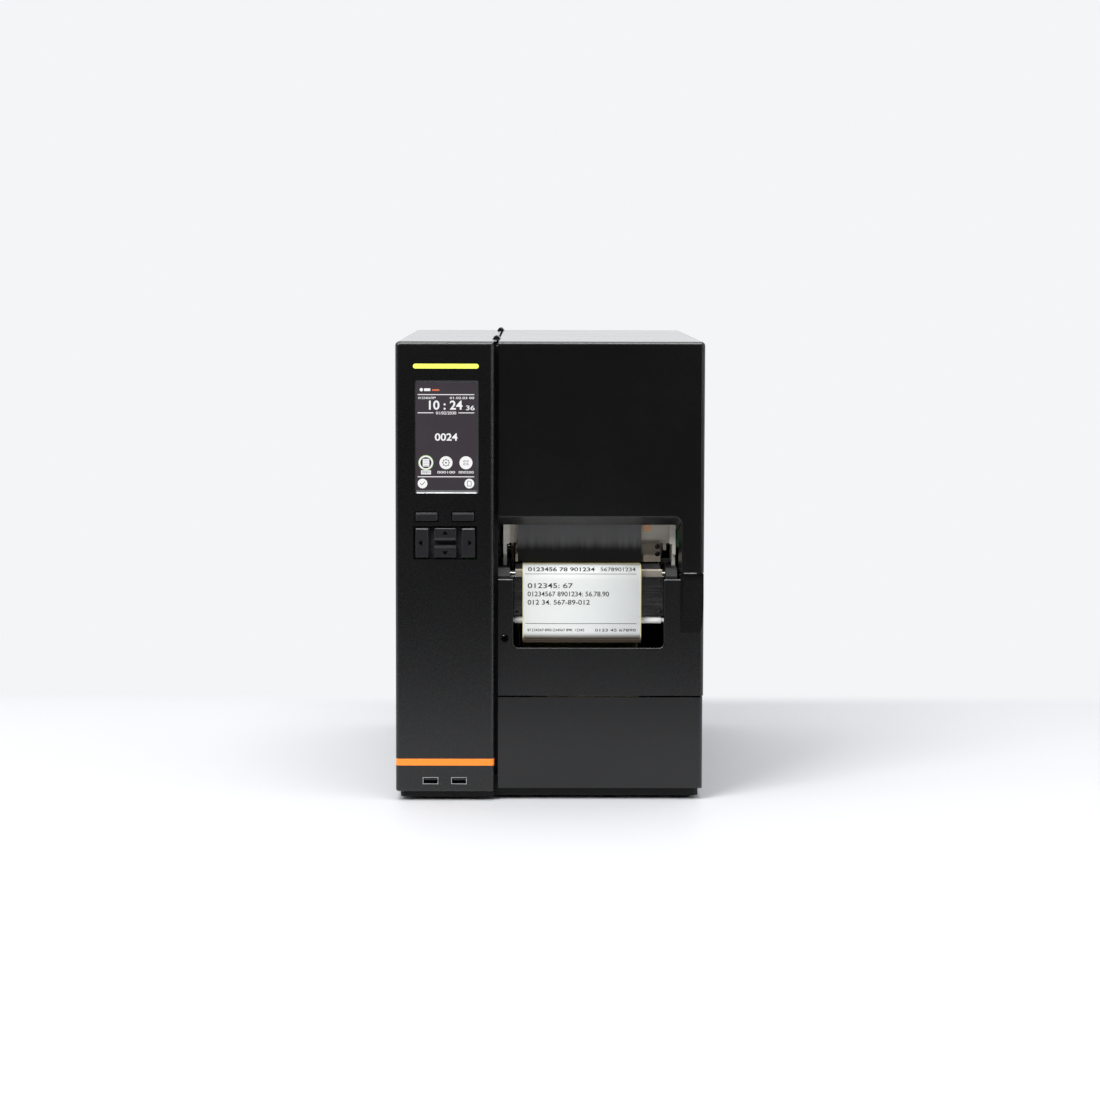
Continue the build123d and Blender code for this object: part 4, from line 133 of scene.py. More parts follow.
class Value:
    """A number, colour or vector that varies over a surface: one output of a shader node.

    Arithmetic on it adds Math nodes, so a pattern is written as an ordinary expression.
    """

    def __init__(self, graph: "Graph", node: bpy.types.Node, output: int | str) -> None:
        """Holds one output of a node.

        Args:
            graph: The graph that the node stands in.
            node: The node.
            output: The output's place or name.
        """
        self.graph = graph
        self.node = node
        self.socket = node.outputs[output]

    def part(self, output: int | str) -> "Value":
        """Gives another output of the same node."""
        return Value(self.graph, self.node, output)

    def math(self, operation: str, *terms: Term) -> "Value":
        """Adds one Math node.

        Args:
            operation: The node's operation.
            terms: Its inputs in order.

        Returns:
            The result.
        """
        return self.graph.node("ShaderNodeMath", {"operation": operation}, dict(enumerate(terms)))

    def __add__(self, other: Term) -> "Value":
        """Adds a term."""
        return self.math("ADD", self, other)

    def __radd__(self, other: Term) -> "Value":
        """Adds this to a number."""
        return self.math("ADD", other, self)

    def __sub__(self, other: Term) -> "Value":
        """Takes a term away."""
        return self.math("SUBTRACT", self, other)

    def __rsub__(self, other: Term) -> "Value":
        """Takes this away from a number."""
        return self.math("SUBTRACT", other, self)

    def __mul__(self, other: Term) -> "Value":
        """Multiplies by a term."""
        return self.math("MULTIPLY", self, other)

    def __pow__(self, other: Term) -> "Value":
        """Raises this to a power."""
        return self.math("POWER", self, other)

    def __lt__(self, other: Term) -> "Value":
        """Is 1 where this is less, and 0 elsewhere."""
        return self.math("LESS_THAN", self, other)

    def rising(self, low: float, high: float) -> "Value":
        """Rises smoothly from 0 to 1.

        Args:
            low: Where the rise begins.
            high: Where it ends.

        Returns:
            The smooth step.
        """
        sockets = {"Value": self, "From Min": low, "From Max": high}
        return self.graph.node("ShaderNodeMapRange", {"interpolation_type": "SMOOTHSTEP"}, sockets)

    def between(self, rise: Span, fall: Span) -> "Value":
        """Rises from 0 to 1 over one span and falls back over another."""
        return self.rising(*rise) * (1 - self.rising(*fall))

    def within(self, low: float, high: float, edge: float) -> "Value":
        """Is 1 between two limits and fades to 0 over a soft edge outside them.

        Args:
            low: The lower limit.
            high: The upper limit.
            edge: The width of the soft edge.

        Returns:
            The band.
        """
        return self.between((low - edge, low), (high, high + edge))

    def blend(self, other: "Value", share: float) -> "Value":
        """Mixes in a share of another value."""
        return self * (1 - share) + other * share

    def either(self, other: "Value") -> "Value":
        """Rises smoothly to 1 as the sum of this and another does."""
        return (self + other).rising(0.0, 1.0)


class Graph:
    """A node tree, and the few ways in which this script adds to one."""

    def __init__(self, tree: bpy.types.NodeTree) -> None:
        """Empties a node tree and takes it over."""
        self.tree = tree
        self.tree.nodes.clear()

    def feed(self, socket: bpy.types.NodeSocket, value: Any) -> None:
        """Links a value to a socket, or sets the socket's own number or colour.

        Args:
            socket: The input to fill.
            value: A Value, a number, a colour or a vector.
        """
        if isinstance(value, Value):
            self.tree.links.new(value.socket, socket)
        elif socket.type == "RGBA" and len(value) == 3:
            socket.default_value = (*value, 1.0)
        else:
            socket.default_value = value

    def node(self, kind: str, settings: dict[str, Any] | None = None,
             sockets: dict[int | str, Any] | None = None, output: int | str = 0) -> Value | None:
        """Adds one node.

        Args:
            kind: The node's type.
            settings: Its settings by name, which are set first.
            sockets: The values or links of its inputs, by name or place.
            output: The output to give back.

        Returns:
            That output as a Value, or None for a node that ends the graph.
        """
        made = self.tree.nodes.new(kind)
        for name, setting in (settings or {}).items():
            setattr(made, name, setting)
        for name, value in (sockets or {}).items():
            self.feed(made.inputs[name], value)
        return Value(self, made, output) if made.outputs else None

    def place(self) -> Value:
        """Gives the point on the surface in metres, in the printer's own frame."""
        return self.node("ShaderNodeTexCoord", output="Object")

    def along(self, axis: str) -> Value:
        """Gives the point's distance along X, Y or Z in metres."""
        return self.node("ShaderNodeSeparateXYZ", sockets={0: self.place()}, output=axis)

    def stretched(self, stretch: Place) -> Value:
        """Gives the point on the surface, with each axis multiplied."""
        return self.node("ShaderNodeVectorMath", {"operation": "MULTIPLY"}, {0: self.place(), 1: stretch})

    def noise(self, scale: float, detail: float = 2.0, stretch: Place = (1.0, 1.0, 1.0)) -> Value:
        """Gives an even, seeded noise from 0 to 1.

        Args:
            scale: Features per metre.
            detail: How many finer layers it has.
            stretch: How much more closely it varies along each axis.

        Returns:
            The noise.
        """
        sockets = {"Vector": self.stretched(stretch), "Scale": scale, "Detail": detail}
        return self.node("ShaderNodeTexNoise", sockets=sockets)

    def cells(self, scale: float, stretch: Place = (1.0, 1.0, 1.0)) -> Value:
        """Gives the distance from the nearest cell's middle, in cells that fill space.

        Args:
            scale: Cells per metre.
            stretch: How much more closely they lie along each axis.

        Returns:
            The distance.
        """
        sockets = {"Vector": self.stretched(stretch), "Scale": scale}
        return self.node("ShaderNodeTexVoronoi", sockets=sockets)

    def layers(self, value: Value, scale: float) -> Value:
        """Gives a noise that varies with one value only, such as a distance from an axis.

        Args:
            value: The value, in metres.
            scale: Layers per metre.

        Returns:
            The noise.
        """
        sockets = {"W": value, "Scale": scale, "Detail": 2.0}
        return self.node("ShaderNodeTexNoise", {"noise_dimensions": "1D"}, sockets)

    def radius(self, y: float, z: float) -> Value:
        """Gives the distance from an axis that lies along X.

        Args:
            y: The axis's place along Y in millimetres.
            z: Its height in millimetres.

        Returns:
            The distance in metres.
        """
        across = self.along("Y") - y * MM
        up = self.along("Z") - z * MM
        return (across * across + up * up) ** 0.5

    def mix(self, factor: Term, first: Any, second: Any) -> Value:
        """Blends two colours.

        Args:
            factor: The second colour's share.
            first: The colour at 0.
            second: The colour at 1.

        Returns:
            The blend.
        """
        sockets = {MIX_FACTOR: factor, MIX_FIRST: first, MIX_SECOND: second}
        return self.node("ShaderNodeMix", {"data_type": "RGBA"}, sockets, MIX_RESULT)

    def eased(self, rise: Span = (0.3, 0.45), fall: Span = (0.93, 0.98)) -> Value:
        """Marks the eased edges between a front and a top, which moulding and coating leave glossy.

        Args:
            rise: How far the surface looks up where the gloss begins.
            fall: How far it looks up where the gloss ends.

        Returns:
            The gloss from 0 to 1.
        """
        normal = self.node("ShaderNodeTexCoord", output="Normal")
        upward = self.node("ShaderNodeSeparateXYZ", sockets={"Vector": normal}, output="Z")
        return upward.between(rise, fall)

    def bump(self, height: Value, depth: float) -> Value:
        """Raises the surface by a pattern.

        Args:
            height: The pattern from 0 to 1.
            depth: What 1 stands for, in millimetres.

        Returns:
            The bent normal.
        """
        return self.node("ShaderNodeBump", sockets={"Height": height, "Distance": depth * MM})

    def surface(self, sockets: dict[str, Any]) -> None:
        """Ends the graph in the standard surface.

        Args:
            sockets: The surface's inputs by name.
        """
        shader = self.node("ShaderNodeBsdfPrincipled", sockets=sockets)
        self.node("ShaderNodeOutputMaterial", sockets={"Surface": shader})


@dataclass(frozen=True)
class Finish:
    """What every finish has: a name, a colour and a gloss."""

    name: str
    colour: Colour
    roughness: float

    def sockets(self, graph: Graph) -> dict[str, Any]:
        """Gives the surface's inputs.

        Args:
            graph: The graph to build in.

        Returns:
            The inputs by name.
        """
        raise NotImplementedError

    def toned(self, pattern: Value, low: float, high: float) -> Value:
        """Makes the finish's colour vary by a pattern.

        Args:
            pattern: The pattern from 0 to 1.
            low: The colour's share at 0.
            high: Its share at 1.

        Returns:
            The varied colour.
        """
        return pattern.graph.mix(pattern, scaled(self.colour, low), scaled(self.colour, high))

    def uneven(self, *swings: tuple[Value, float]) -> Value:
        """Makes the finish's roughness vary by some patterns.

        Args:
            swings: Each pattern from 0 to 1, and how much rougher the surface is at 1 than at 0.

        Returns:
            The varied roughness.
        """
        rough = self.roughness
        for pattern, swing in swings:
            rough = rough + (pattern - 0.5) * swing
        return rough

    def material(self) -> bpy.types.Material:
        """Makes the material, or gives the one made before.

        Returns:
            The material.
        """
        name = f"finish_{self.name}"
        if name in bpy.data.materials:
            return bpy.data.materials[name]
        made = bpy.data.materials.new(name)
        made.use_nodes = True
        graph = Graph(made.node_tree)
        graph.surface(self.sockets(graph))
        made.diffuse_color = (*self.colour, 1.0)
        return made


@dataclass(frozen=True)
class Powder(Finish):
    """Powder coat on sheet steel, with a fine orange peel and faint clouds in its gloss."""

    peel: float = 0.025
    grains: float = 1100.0
    sheen: float = 0.5
    skim: float = 0.9
    skim_span: Span = (0.90, 0.98)

    def sockets(self, graph: Graph) -> dict[str, Any]:
        """Gives the coat's inputs.

        Args:
            graph: The graph to build in.

        Returns:
            The inputs by name.
        """
        clouds = graph.noise(7.0, 3.0)
        peel = graph.noise(self.grains, 2.0)
        fleck = graph.noise(self.grains * 3, 1.0)
        facing = graph.node("ShaderNodeLayerWeight", sockets={"Blend": 0.5}, output="Facing")
        return {
            "Base Color": self.toned(clouds.blend(fleck, 0.4), 0.8, 1.25),
            "Roughness": self.uneven((clouds, 0.10), (fleck, 0.08)),
            "Specular IOR Level": self.sheen,
            "Coat Weight": facing.rising(*self.skim_span).either(graph.eased()) * self.skim,
            "Coat Roughness": EDGE_ROUGHNESS,
            "Normal": graph.bump(peel, self.peel),
        }


@dataclass(frozen=True)
class Wall(Powder):
    """The grey coat of the wall inside, with painted shade: its front edge is painted black where it shows
    in the seam.
    """

    seam_shade_up_to: float = -224.0
    fade: float = 1.0
    black: Colour = (0.003, 0.003, 0.003)
    dulled: float = 0.4

    def sockets(self, graph: Graph) -> dict[str, Any]:
        """Gives the coat's inputs.

        Args:
            graph: The graph to build in.

        Returns:
            The inputs by name.
        """
        inputs = super().sockets(graph)
        # Painted shade: in front of this depth the coat turns black and duller, where the seam and the
        # chute's side fall into shade.
        grey = graph.along("Y").rising(*metres((self.seam_shade_up_to, self.seam_shade_up_to + self.fade)))
        inputs["Base Color"] = graph.mix(grey, self.black, inputs["Base Color"])
        inputs["Roughness"] = inputs["Roughness"] + (1 - grey) * self.dulled
        return inputs


@dataclass(frozen=True)
class Moulded(Finish):
    """Moulded plastic with an eroded grain."""

    grain: float = 0.02
    grains: float = 1900.0
    sheen: float = 0.5
    polish: float = 0.9

    def sockets(self, graph: Graph) -> dict[str, Any]:
        """Gives the plastic's inputs.

        Args:
            graph: The graph to build in.

        Returns:
            The inputs by name.
        """
        clouds = graph.noise(9.0, 2.0)
        grain = graph.cells(self.grains)
        fine = graph.noise(self.grains * 0.6, 3.0)
        return {
            "Base Color": self.toned(clouds.blend(fine, 0.3), 0.85, 1.18),
            "Roughness": self.uneven((fine, 0.12), (clouds, 0.06)),
            "Specular IOR Level": self.sheen,
            "Coat Weight": graph.eased() * self.polish,
            "Coat Roughness": EDGE_ROUGHNESS,
            "Normal": graph.bump(grain.blend(fine, 0.4), self.grain),
        }


class Grain(Enum):
    """Which way the marks on a metal run, as how closely they vary along each axis."""

    ALONG_X = (0.03, 1.0, 1.0)
    ROUND_X = (1.0, 0.02, 0.02)
    UPRIGHT = (1.0, 1.0, 0.03)
    EVEN = (1.0, 1.0, 1.0)


@dataclass(frozen=True)
class Metal(Finish):
    """Bare or plated metal, drawn, turned, brushed or rolled."""

    grain: Grain = Grain.EVEN
    marks: float = 900.0
    depth: float = 0.01
    tint: Colour = (0.55, 0.42, 0.28)
    tint_share: float = 0.0
    bare: float = 1.0

    def sockets(self, graph: Graph) -> dict[str, Any]:
        """Gives the metal's inputs.

        Args:
            graph: The graph to build in.

        Returns:
            The inputs by name.
        """
        streaks = graph.noise(self.marks, 3.0, self.grain.value)
        clouds = graph.noise(28.0, 2.0)
        plain = self.toned(streaks, 0.82, 1.08)
        return {
            "Base Color": graph.mix(clouds.rising(0.35, 0.75) * self.tint_share, plain, self.tint),
            "Roughness": self.uneven((streaks, 0.16), (clouds, 0.08)),
            "Metallic": self.bare,
            "Normal": graph.bump(streaks, self.depth),
        }


@dataclass(frozen=True)
class Socket(Metal):
    """A plated shell whose inside falls into shadow behind its mouth."""

    mouth: float = -251.0
    inward: int = 1
    shade_span: Span = (0.1, 0.9)
    shade: Colour = (0.006, 0.006, 0.006)

    def sockets(self, graph: Graph) -> dict[str, Any]:
        """Gives the shell's inputs.

        Args:
            graph: The graph to build in.

        Returns:
            The inputs by name.
        """
        inputs = super().sockets(graph)
        depth = (graph.along("Y") - self.mouth * MM) * self.inward
        inside = depth.rising(*metres(self.shade_span))
        inputs["Base Color"] = graph.mix(inside, inputs["Base Color"], self.shade)
        inputs["Metallic"] = 1 - inside
        return inputs


@dataclass(frozen=True)
class Rim(Metal):
    """The display's frame: black, with a painted highlight along its lower edge, where it is bare bright
    metal.
    """

    highlight_up_to: float = 277.8
    fade: float = 0.4
    dark: Colour = (0.022, 0.022, 0.023)

    def sockets(self, graph: Graph) -> dict[str, Any]:
        """Gives the frame's inputs.

        Args:
            graph: The graph to build in.

        Returns:
            The inputs by name.
        """
        inputs = super().sockets(graph)
        # Painted highlight: bright bare metal below this height, the black frame above it.
        black = graph.along("Z").rising(*metres((self.highlight_up_to - self.fade, self.highlight_up_to)))
        inputs["Base Color"] = graph.mix(black, inputs["Base Color"], self.dark)
        inputs["Metallic"] = (1 - black) * self.bare
        return inputs


@dataclass(frozen=True)
class PaintedGlowMoulded(Moulded):
    """A moulding that glows in its own colour: painted light, an emission that brightens it under any lamp.
    """

    strength: float = 0.25

    def sockets(self, graph: Graph) -> dict[str, Any]:
        """Gives the moulding's inputs.

        Args:
            graph: The graph to build in.

        Returns:
            The inputs by name.
        """
        inputs = super().sockets(graph)
        # Painted glow: the moulding emits its own colour.
        inputs["Emission Color"] = self.colour
        inputs["Emission Strength"] = self.strength
        return inputs


@dataclass(frozen=True)
class Spangled(Finish):
    """Zinc-plated sheet, with the broad crystals of its coat."""

    crystals: float = 130.0

    def sockets(self, graph: Graph) -> dict[str, Any]:
        """Gives the sheet's inputs.

        Args:
            graph: The graph to build in.

        Returns:
            The inputs by name.
        """
        crystal = graph.cells(self.crystals).part("Color")
        shade = graph.node("ShaderNodeSeparateColor", sockets={0: crystal})
        fine = graph.noise(700.0, 2.0)
        return {
            "Base Color": self.toned(shade, 0.84, 1.08),
            "Roughness": self.uneven((shade, 0.14), (fine, 0.06)),
            "Metallic": 1.0,
            "Normal": graph.bump(fine, 0.006),
        }


@dataclass(frozen=True)
class Cast(Finish):
    """A painted casting, with the skin of its mould."""

    def sockets(self, graph: Graph) -> dict[str, Any]:
        """Gives the casting's inputs.

        Args:
            graph: The graph to build in.

        Returns:
            The inputs by name.
        """
        skin = graph.noise(420.0, 6.0)
        clouds = graph.noise(12.0, 2.0)
        return {
            "Base Color": self.toned(clouds, 0.75, 1.3),
            "Roughness": self.uneven((skin, 0.2)),
            "Normal": graph.bump(skin, 0.06),
        }


@dataclass(frozen=True)
class Rubber(Finish):
    """Ground or moulded rubber, dull and slightly dusty."""

    dust: Colour = (0.09, 0.09, 0.095)
    dust_share: float = 0.35

    def sockets(self, graph: Graph) -> dict[str, Any]:
        """Gives the rubber's inputs.

        Args:
            graph: The graph to build in.

        Returns:
            The inputs by name.
        """
        ground = graph.noise(1500.0, 3.0, Grain.ROUND_X.value)
        settled = graph.noise(40.0, 4.0).rising(0.45, 0.8)
        return {
            "Base Color": graph.mix(settled * self.dust_share, self.colour, self.dust),
            "Roughness": self.uneven((ground, 0.15)),
            "Normal": graph.bump(ground, 0.015),
        }


@dataclass(frozen=True)
class Paper(Finish):
    """Coated paper, with its fibres faint under the coat, and painted shade that darkens it low in the chute
    where it has a shade span.
    """

    shade: Colour = (0.055, 0.04, 0.024)
    shade_span: Span | None = None
    lit_behind: Span = (-222.0, -215.0)

    def sockets(self, graph: Graph) -> dict[str, Any]:
        """Gives the paper's inputs.

        Args:
            graph: The graph to build in.

        Returns:
            The inputs by name.
        """
        fibre = graph.noise(1200.0, 5.0, (1.0, 0.3, 0.3))
        cloud = graph.noise(60.0, 3.0)
        colour = self.toned(fibre.blend(cloud, 0.5), 0.95, 1.03)
        if self.shade_span:
            # Painted shade: below the span's heights and in front of lit_behind, the paper darkens to the
            # shade colour.
            above = graph.along("Z").rising(*metres(self.shade_span))
            behind = graph.along("Y").rising(*metres(self.lit_behind))
            colour = graph.mix(above.either(behind), self.shade, colour)
        return {
            "Base Color": colour,
            "Roughness": self.uneven((fibre, 0.12)),
            "Normal": graph.bump(fibre, 0.004),
        }


@dataclass(frozen=True)
class Wound(Finish):
    """The side of a wound roll: thin rings of paper or film round an axis."""

    axis: Spot = (0.0, 0.0)
    layers: float = 2600.0
    gap: Colour = (0.5, 0.45, 0.3)
    core_radius: float = 0.0
    core: Colour = (0.33, 0.24, 0.15)
    ring_share: float = 0.45
    broad_share: float = 0.2
    rings_in_broad: float = 14.0

    def sockets(self, graph: Graph) -> dict[str, Any]:
        """Gives the roll's inputs.

        Args:
            graph: The graph to build in.

        Returns:
            The inputs by name.
        """
        radius = graph.radius(*self.axis)
        rings = graph.layers(radius, self.layers)
        broad = graph.layers(radius, self.layers / self.rings_in_broad)
        gaps = rings.rising(0.35, 0.7) * self.ring_share + broad.rising(0.4, 0.7) * self.broad_share
        in_core = radius < self.core_radius * MM
        return {
            "Base Color": graph.mix(in_core, graph.mix(gaps, self.colour, self.gap), self.core),
            "Roughness": self.uneven((rings, 0.2)),
            "Normal": graph.bump(rings, 0.03),
        }


@dataclass(frozen=True)
class Film(Finish):
    """Thin coated film under tension, with long creases down its run and a painted reflection: a lighter
    band over a range of heights.
    """

    band: tuple[float, float, float, float] = (222.5, 237.0, 262.0, 275.0)
    painted_sheen_colour: Colour = (0.22, 0.22, 0.228)
    waver: float = 5.0
    streak_share: float = 0.84
    crease_depth: float = 0.55
    gloss: float = 0.04

    def sockets(self, graph: Graph) -> dict[str, Any]:
        """Gives the film's inputs.

        Args:
            graph: The graph to build in.

        Returns:
            The inputs by name.
        """
        creases = graph.noise(55.0, 2.0, (1.0, 0.06, 0.06))
        fine = graph.noise(260.0, 2.0, (1.0, 0.08, 0.08))
        height = graph.along("Z") + (fine - 0.5) * (self.waver * MM)
        low, full, fade, end = metres(self.band)
        # Painted reflection: the colour lightens over the band's heights, its edges wavering with the fine
        # streaks.
        plain = graph.mix(height.between((low, full), (fade, end)), self.colour, self.painted_sheen_colour)
        return {
            "Base Color": graph.mix(fine, plain * self.streak_share, plain),
            "Roughness": self.uneven((fine, 0.1)),
            "Specular IOR Level": 0.2,
            "Coat Weight": self.gloss + (creases - 0.5) * 0.05,
            "Coat Roughness": 0.25,
            "Normal": graph.bump(creases.blend(fine, 0.2), self.crease_depth),
        }


@dataclass(frozen=True)
class Board(Finish):
    """A printed circuit board: lacquer over copper, with bare pads."""

    pad: Colour = (0.62, 0.56, 0.38)

    def sockets(self, graph: Graph) -> dict[str, Any]:
        """Gives the board's inputs.

        Args:
            graph: The graph to build in.

        Returns:
            The inputs by name.
        """
        tracks = graph.cells(230.0, (1.0, 1.0, 0.25))
        rows = graph.cells(230.0, (1.0, 0.25, 1.0))
        copper = tracks.rising(0.50, 0.56).either(rows.rising(0.52, 0.58))
        pads = 1 - graph.cells(330.0).rising(0.12, 0.16)
        return {
            "Base Color": graph.mix(pads, self.toned(copper, 1.0, 2.1), self.pad),
            "Roughness": self.roughness - pads * 0.1,
            "Metallic": pads * 0.9,
            "Normal": graph.bump(copper, 0.03),
        }


@dataclass(frozen=True)
class Lens(Finish):
    """A light pipe that glows, a little brighter over its lamps."""

    strength: float = 1.0
    pitch: float = 9.0
    lamp_share: float = 0.10
    milk_share: float = 0.12
    least_share: float = 0.35

    def sockets(self, graph: Graph) -> dict[str, Any]:
        """Gives the lens's inputs.

        Args:
            graph: The graph to build in.

        Returns:
            The inputs by name.
        """
        turn = graph.along("X") * (2 * math.pi / (self.pitch * MM))
        lamps = turn.math("SINE", turn)
        milk = graph.noise(300.0, 2.0)
        glow = lamps * self.lamp_share + milk * self.milk_share + self.least_share
        return {
            "Base Color": scaled(self.colour, 0.5),
            "Roughness": self.uneven((milk, 0.1)),
            "Emission Color": self.toned(glow, 0.82, 1.0),
            "Emission Strength": self.strength,
        }


@dataclass(frozen=True)
class ScreenGlass(Finish):
    """The touch screen: black glass with the display's dim glow behind its window."""

    glow: Colour = (0.05, 0.04, 0.05)
    window: tuple[float, float, float, float] = (0.0, 1.0, 0.0, 1.0)
    edge: float = 0.1

    def sockets(self, graph: Graph) -> dict[str, Any]:
        """Gives the glass's inputs.

        Args:
            graph: The graph to build in.

        Returns:
            The inputs by name.
        """
        left, right, low, high = metres(self.window)
        soft = self.edge * MM
        lit = graph.along("X").within(left, right, soft) * graph.along("Z").within(low, high, soft)
        bleed = graph.noise(30.0, 2.0)
        smear = graph.noise(90.0, 4.0)
        picture = graph.mix(bleed, scaled(self.glow, 0.88), scaled(self.glow, 1.1))
        return {
            "Base Color": self.toned(bleed, 1.0, 1.4),
            "Roughness": self.roughness + smear * 0.12,
            "Emission Color": graph.mix(lit, (0.0, 0.0, 0.0), picture),
            "Emission Strength": 1.0,
        }


@dataclass(frozen=True)
class Pane(Finish):
    """A smoked clear pane."""

    clear: float = 0.6

    def sockets(self, graph: Graph) -> dict[str, Any]:
        """Gives the pane's inputs.

        Args:
            graph: The graph to build in.

        Returns:
            The inputs by name.
        """
        smear = graph.noise(40.0, 4.0)
        return {
            "Base Color": self.toned(smear, 0.8, 1.3),
            "Roughness": self.roughness + smear * 0.06,
            "Alpha": 1 - self.clear + (smear - 0.5) * 0.05,
        }


@dataclass(frozen=True)
class Glow(Finish):
    """A lit mark on the display."""

    unlit: Colour = (0.02, 0.02, 0.02)

    def sockets(self, graph: Graph) -> dict[str, Any]:
        """Gives the mark's inputs.

        Args:
            graph: The graph to build in.

        Returns:
            The inputs by name.
        """
        rows = graph.noise(2500.0, 1.0)
        return {
            "Base Color": self.unlit,
            "Roughness": self.roughness,
            "Emission Color": self.toned(rows, 0.88, 1.0),
            "Emission Strength": 1.0,
        }


@dataclass(frozen=True)
class Ink(Finish):
    """Thermal print, denser in the middle of a stroke than in its specks."""

    speck: Colour = (0.21, 0.21, 0.21)

    def sockets(self, graph: Graph) -> dict[str, Any]:
        """Gives the ink's inputs.

        Args:
            graph: The graph to build in.

        Returns:
            The inputs by name.
        """
        dots = graph.noise(5200.0, 2.0)
        return {
            "Base Color": graph.mix(dots.rising(0.68, 0.9), self.colour, self.speck),
            "Roughness": self.uneven((dots, 0.2)),
        }


class Paint:
    """The finishes of this printer, by what they are on."""

    COVER = Powder("black_cover", swatch(12, 12, 13), 0.27, sheen=0.6)
    PAN = Powder("black_pan", swatch(9, 9, 10), 0.6, sheen=0.3)
    MOULDING = Moulded("black_moulding", swatch(12, 12, 13), 0.28, sheen=0.6)
    KEY = Moulded("black_key", swatch(32, 32, 34), 0.34, grain=0.01, sheen=0.4)
    RUBBER = Rubber("black_rubber", swatch(24, 24, 25), 0.75)
    TRIM = PaintedGlowMoulded("orange_trim", swatch(255, 138, 44), 0.45, grain=0.012)
    LENS = Lens("light_lens", swatch(245, 255, 100), 0.35)
    GLASS = ScreenGlass("screen_glass", swatch(16, 15, 17), 0.12, glow=swatch(62, 56, 62))
    RIM = Rim("screen_rim", swatch(235, 236, 238), 0.3, grain=Grain.ALONG_X, bare=0.5)
    BOARD = Board("green_board", swatch(20, 92, 44), 0.38)
    ZINC = Spangled("zinc_sheet", swatch(196, 199, 202), 0.34)
    BRIGHT = Metal("bright_steel", swatch(226, 226, 222), 0.16, grain=Grain.ROUND_X, marks=1600.0)
    STAINLESS = Metal(
        "stainless", swatch(252, 249, 240), 0.44, grain=Grain.ALONG_X, tint_share=0.15, bare=0.2)
    BAR = Metal("brushed_bar", swatch(196, 190, 178), 0.42, grain=Grain.ALONG_X, tint_share=0.2, bare=0.8)
    HEAD = Metal("head_metal", swatch(150, 142, 130), 0.36, grain=Grain.ALONG_X, tint_share=0.35)
    CAST = Cast("cast_black", swatch(13, 13, 14), 0.5)
    WALL = Wall("wall_grey", swatch(86, 88, 92), 0.5)
    BRONZE = Metal("bush_bronze", swatch(176, 128, 72), 0.32, grain=Grain.ROUND_X)
    PANE = Pane("pane_smoke", swatch(20, 21, 23), 0.08)
    NYLON = Moulded("nylon_black", swatch(34, 34, 36), 0.5, grain=0.006)
    SPINDLE = Moulded("spindle_grey", swatch(120, 123, 128), 0.42, grain=0.01)
    FILM = Film("ribbon_film", swatch(20, 20, 21), 0.42)
    PAPER = Paper("label_paper", swatch(214, 205, 160), 0.42, shade_span=(143.5, 151.0))
    POLISHED = Metal("polished_steel", swatch(186, 185, 184), 0.16, grain=Grain.ALONG_X, depth=0.004)
    PASSIVATED = Metal(
        "passivated", swatch(236, 230, 218), 0.42, grain=Grain.ALONG_X, tint_share=0.3, bare=0.4)
    SATIN = Metal("satin_bar", swatch(255, 255, 252), 0.55, grain=Grain.ALONG_X, bare=0.0)
    REAR_PORT = Socket(
        "rear_ports", swatch(205, 206, 208), 0.3, grain=Grain.ALONG_X, mouth=249.5, inward=-1)
    PORT = Socket("front_ports", swatch(205, 206, 208), 0.3, grain=Grain.ALONG_X)
    MOTOR = Metal("motor_steel", swatch(150, 152, 156), 0.38, grain=Grain.ROUND_X)
    BLACKED = Metal("blacked_steel", swatch(38, 38, 40), 0.36, grain=Grain.EVEN, bare=0.6)
    LEVER = Moulded("lever_tan", swatch(196, 160, 110), 0.42)
    SOCKET = Metal("socket_metal", swatch(205, 206, 208), 0.24, grain=Grain.ALONG_X)
    LABEL = Paper("label_face", swatch(226, 229, 227), 0.46, shade_span=(144.8, 153.5))
    INK = Ink("print_ink", swatch(24, 22, 24), 0.5)
    WHITE_MARK = Glow("screen_white", swatch(250, 250, 250), 0.5)
    GREEN_MARK = Glow("screen_green", swatch(150, 200, 110), 0.5)
    ORANGE_MARK = Glow("screen_orange", swatch(230, 110, 70), 0.5)
    DARK_MARK = Glow("screen_dark", swatch(84, 80, 84), 0.5)
    KEY_MARK = Moulded("key_mark", swatch(5, 5, 5), 0.9, grain=0.004, sheen=0.0)
    SCREW = Metal("screw_black", swatch(52, 50, 49), 0.34, grain=Grain.EVEN, marks=500.0)
    SCREW_ZINC = Metal("screw_zinc", swatch(196, 196, 190), 0.28, grain=Grain.EVEN, marks=500.0)
    PATCH = Paper("amber_patch", swatch(255, 200, 150), 0.5)
    SPRING = Metal("spring_wire", swatch(190, 190, 188), 0.22, grain=Grain.EVEN)
    CHIP = Moulded("chip_black", swatch(28, 28, 30), 0.5, grain=0.01)
    WHITE_PLASTIC = Moulded("connector_white", swatch(222, 220, 210), 0.45, grain=0.01)
    GOLD = Metal("contact_gold", swatch(214, 172, 92), 0.22)


LABEL_AXIS = (130.0, 205.0)
LABEL_CORE_RADIUS = 41.0
REWIND_AXIS = (-140.0, 88.0)
REWIND_CORE_RADIUS = 22.6
RIBBON_SUPPLY_AXIS = (-45.0, 325.0)
RIBBON_REWIND_AXIS = (-150.0, 330.0)
RIBBON_COLOUR = swatch(38, 38, 40)
RIBBON_LAYERS = 9000.0
RIBBON_CORE_RADIUS = 14.8


def ribbon_roll(name: str, axis: Spot) -> Wound:
    """Gives the side of a wound ribbon.

    Args:
        name: The finish's name.
        axis: The roll's axis along Y and up, in millimetres.

    Returns:
        The finish.
    """
    gap = scaled(RIBBON_COLOUR, 0.4)
    return Wound(name, RIBBON_COLOUR, 0.36, axis, RIBBON_LAYERS, gap, RIBBON_CORE_RADIUS)


